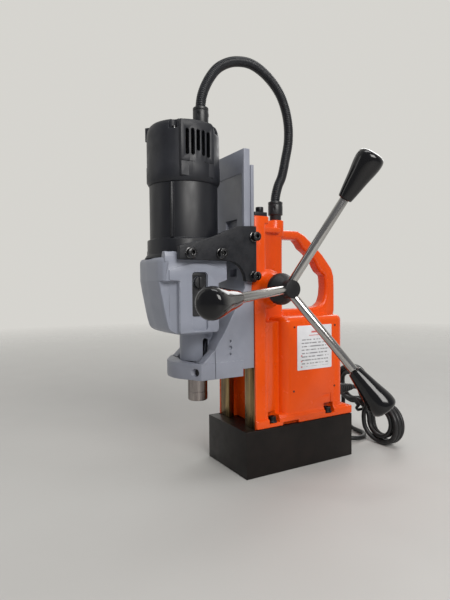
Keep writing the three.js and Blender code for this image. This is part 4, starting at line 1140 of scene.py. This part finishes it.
def nose_outline():
    """The gearbox in plan: square behind, rounded in front."""
    half, front, back = GEARBOX["half"], GEARBOX["front"], GEARBOX["back"]
    return filleted([(half, back, 2.5), (half, front + 7.5, 7), (32, front + 3, 30), (0, front + 1.6, 60),
                     (-32, front + 3.6, 30), (-half, front + 9, 9), (-half, back, 2.5)], 4)


# Levels of the gearbox from its underside up: height, foremost y, rear y and half-width.
LEVELS = [
    (199, -186.5, -141.5, 41.5), (199.8, -190, -138.5, 43.6), (201.5, -194.5, -135, 44.6),
    (204, -198.3, -132, 45), (207, -200.5, -130.2, 45), (216, -203.2, -130, 45), (228, -205.8, -130, 45),
    (240, -208, -130, 45),
    (252, -210.4, -130, 45), (262, -212, -130, 45), (265.4, -212.6, -129, 45), (266.6, -212.8, -126.5, 45),
    (267, -212.9, -119, 45), (268.2, -213, -117, 45), (290.5, -213, -117, 45), (293.4, -212.6, -117, 45),
    (295.4, -211.4, -117.3, 44.6), (296.5, -209.8, -118.4, 43.4),
]


def gearbox_shell():
    """The nose outline carried up the levels, its front and rear halves shifted to each level's depth."""
    front, back, half = GEARBOX["front"], GEARBOX["back"], GEARBOX["half"]
    outline = nose_outline()
    middle = 0.5 * (front + back)
    rings = []
    for z, foremost, rear, wide in LEVELS:
        rings.append([(x * wide / half, y + (foremost - front if y < middle else rear - back), z)
                      for x, y in outline])
    return lofted("gearbox", rings)


def gearbox_adds():
    half, base, top, inner = GEARBOX["half"], GEARBOX["base"], GEARBOX["top"], LUG["inner"]
    quill = lathe("quill", [
        (0, 140.5), (23.5, 140.5), (24.1, 141.2), (24.1, base - 3), (25, base - 0.6), (27, base + 0.6),
        (27, base + 5), (0, base + 5)], 96, SPINDLE_AXIS)
    tip = top + LUG["height"]
    ear = prism("lug", filleted([
        (inner + 3, top - 6), (half, top - 6), (half, top + 1, 1), (half - 1.5, tip, 2), (inner + 3, tip, 1),
        (inner, top + 0.4), (inner, top - 6)]), LUG["front"], LUG["back"], endways)
    adds = [quill, bevelled(ear, 0.9, 3, 50)]
    for side in (-1, 1):
        pad = side_prism("pad", filleted(PAD), side, half - 1, half + 1.5)
        adds.append(bevelled(pad, 1.0, 3, 50))
    return adds


def gearbox_cuts():
    half, base, top = GEARBOX["half"], GEARBOX["base"], GEARBOX["top"]
    cuts = [rod("lug_socket", 2.9, top + 2, top + 14, at(LUG["screw_x"], LUG["screw_y"], 0))]
    for side in (-1, 1):
        channel = prism("channel", filleted([
            (side * 34.5, -225), (side * 36, -196, 3), (side * 39.5, -187, 3), (side * 52, -185.5),
            (side * 52, -225)]), base - 5, 267)
        outline = box_outline(-169, -147, 203.5, 278, 4.5)
        window = side_prism("window", outline, side, half - 2.6, half + 6)
        cuts += [bevelled(channel, 1.2, 2, 60), bevelled(window, 1.2, 3, 60)]
    gear_room = rod("gear_room", 41, 267, top + 1, MOTOR_AXIS)
    cuts += [
        shared(gear_room, block("gear_room_side", -41, 41, -205, -120.4, 260, 300)),
        block("grease_room", -32, 32, -197, -163, 212, 270),
        rod("quill_bore", 14.3, 130, 240, SPINDLE_AXIS),
        rod("bearing_seat", 19.8, 239, 270, SPINDLE_AXIS),
    ]
    for side in (-1, 1):
        slot = box_outline(SPINDLE_Y - 3.8, SPINDLE_Y + 3.8, 162, 191, 3.75)
        cuts.append(side_prism("drift_slot", slot, side, 10, 30))
    return cuts


def gearbox():
    shell = minus(joined(gearbox_shell(), *gearbox_adds()), *gearbox_cuts())
    bevelled(shell, 0.5, 2, 42)
    show(shell, GREY_PAINT, "carriage", "grey_paint", "gearbox_housing", angle=40)


def selector():
    """A turning grip, and the dark plate round it that fills most of the side window."""
    place = at(0, SELECTOR["y"], SELECTOR["z"]) @ ALONG_X
    base = GEARBOX["half"] - 2.3
    profile = [(0, base), (7.8, base), (7.8, base + 3.4), (7.0, base + 4.4), (0, base + 4.6)]
    dial = lathe("selector_dial", profile)
    grip = bevelled(block("selector_bar", -6.8, 6.8, -2.2, 2.2, base + 3, base + 7.4), 0.9, 3)
    knob = joined(dial, grip)
    notches = []
    for index in range(18):
        turn = Matrix.Rotation(math.tau * index / 18, 4, "Z") @ at(7.9)
        notches.append(rod("selector_notch", 0.7, base - 1, base + 4, turn, 12))
    knob = bevelled(minus(knob, *notches), 0.2)
    knob.data.transform(place)
    show(knob, PLASTIC, "speed_selector", "black_plastic", "speed_selector")
    outline = box_outline(-168.2, -147.8, 222, 277.2, 3.6)
    plate = prism("selector_plate", outline, base - 0.4, base + 0.9, sideways)
    plate = minus(plate, rod("selector_hole", 8.3, 30, 60, place))
    show(bevelled(plate, 0.3), PLASTIC, "carriage", "black_plastic")


def spindle():
    arbor = lathe("arbor", [
        (9.5, 105.3), (9.9, 104.6), (12.5, 104.6), (13.3, 105.4), (13.5, 106.2), (13.5, 116), (13.3, 116.3),
        (13.3, 117), (13.5, 117.3), (13.5, 214), (12, 216), (12, 262), (8.6, 262), (8.6, 277), (0, 277),
        (0, 130), (9.5, 128), (9.5, 105.3),
    ], 96, SPINDLE_AXIS)
    show(arbor, ARBOR, "spindle", "bright_steel", "spindle", angle=30)
    dress("spindle_gear", BRIGHT, 0.1)
    dress("countershaft", BRIGHT, 0.1)
    dress("spindle_bearing", BRIGHT, 0.3)


gearbox()
selector()
spindle()


# ---- Slide, clamp and brackets ----

BRACKET_BACK = -78.2
NOTCH = {"y": -121.6, "z": 266.2, "radius": 26.2}


def side_bracket(side, name):
    """A plate cut away below by a round notch over the slide's shoulder."""
    angles = (math.radians(step) for step in range(0, 91, 6))
    notch = [Vector((NOTCH["y"] + NOTCH["radius"] * math.cos(angle),
                     NOTCH["z"] + NOTCH["radius"] * math.sin(angle))) for angle in angles]
    edge = filleted([(-190.5, 293.8, 1.5), (-190.3, 310, 2), (-143.6, 322.7, 6), (-106.8, 338.2, 10),
                     (BRACKET_BACK, 338.9, 1.5), (BRACKET_BACK, 264.4, 1.5)])
    plate = side_prism(f"{name}_plate", edge + notch, side, 47.6, 55.5)
    show(bevelled(plate, 1.0, 3), CASTING_BLACK, "carriage", "black_steel", name)


def carriage_parts():
    side_bracket(1, "bracket_right")
    side_bracket(-1, "bracket_left")
    dress("slide_casting", GREY_SLIDE, 0.6, 3)
    dress("clamp_cap", GREY_SLIDE, 0.9, 3)
    dress("feed_rack", BRIGHT, 0.2)
    for side in ("right", "left"):
        dress(f"clamp_screw_{side}", SCREW_BLACK, 0.25)
        for number in range(1, 5):
            dress(f"bracket_screw_{side}_{number}", SCREW, 0.35)


carriage_parts()


# ---- Floor and light ----

# The way out behind the machine, where the world is palest, and how far out in metres the floor fades.
BACKDROP_SIDE = (-0.87, 0.49, 0)
FADE_START, FADE_END = 0.55, 2.6


def floor():
    """A pale disc whose far part fades into the background."""
    bm = bmesh.new()
    bmesh.ops.create_circle(bm, cap_ends=True, segments=128, radius=6)
    ground = from_bmesh("floor", bm)
    material = surface("floor_paint", (0.52, 0.515, 0.50), 0.6, second=(0.505, 0.50, 0.485), mottle=3,
                       grain=[(60, 0.05)])
    tree = material.node_tree
    shader = tree.nodes["Principled BSDF"]
    place = tree.nodes["Texture Coordinate"].outputs["Object"]
    away = add_node(tree, "ShaderNodeVectorMath", {0: place}, "Value", operation="LENGTH")
    tree.links.new(ranged(tree, away, FADE_START, FADE_END, 1, 0), shader.inputs["Alpha"])
    ground.data.materials.append(material)


def area_light(name, place, target, size, power, colour=(1, 1, 1)):
    data = bpy.data.lights.new(name, "AREA")
    data.shape = "RECTANGLE"
    data.size, data.size_y = size
    data.energy = power
    data.color = colour
    lamp = new_object(name, data)
    turn = (Vector(target) - Vector(place)).to_track_quat("-Z", "Y").to_matrix().to_4x4()
    lamp.matrix_world = Matrix.Translation(Vector(place)) @ turn


def backdrop():
    """A world that is pale behind the machine and dimmer on the side it is seen from."""
    world = bpy.data.worlds.new("studio")
    world.use_nodes = True
    tree = world.node_tree
    direction = add_node(tree, "ShaderNodeTexCoord", {}, "Generated")
    facing = add_node(tree, "ShaderNodeVectorMath", {0: direction, 1: BACKDROP_SIDE}, "Value",
                      operation="DOT_PRODUCT")
    tone = mixed(tree, ranged(tree, facing, -0.3, 0.7, 0, 1), (0.20, 0.20, 0.21), (0.672, 0.66, 0.625))
    tree.links.new(tone, tree.nodes["Background"].inputs["Color"])
    bpy.context.scene.world = world


def lighting():
    backdrop()
    middle = (0, -0.06, 0.25)
    area_light("key", (1.6, -0.2, 1.2), middle, (1.1, 0.8), 26, (1, 0.98, 0.95))
    area_light("overhead", (0.3, -0.1, 2.2), middle, (1.4, 0.6), 10)
    area_light("left_strip", (-0.7, -1.7, 0.9), middle, (0.35, 1.3), 1.5, (1, 0.98, 0.95))
    area_light("rear", (-1.0, 1.5, 1.3), middle, (0.8, 0.8), 6)
    view = bpy.context.scene.view_settings
    view.view_transform = "Standard"
    view.look = "None"


floor()
lighting()
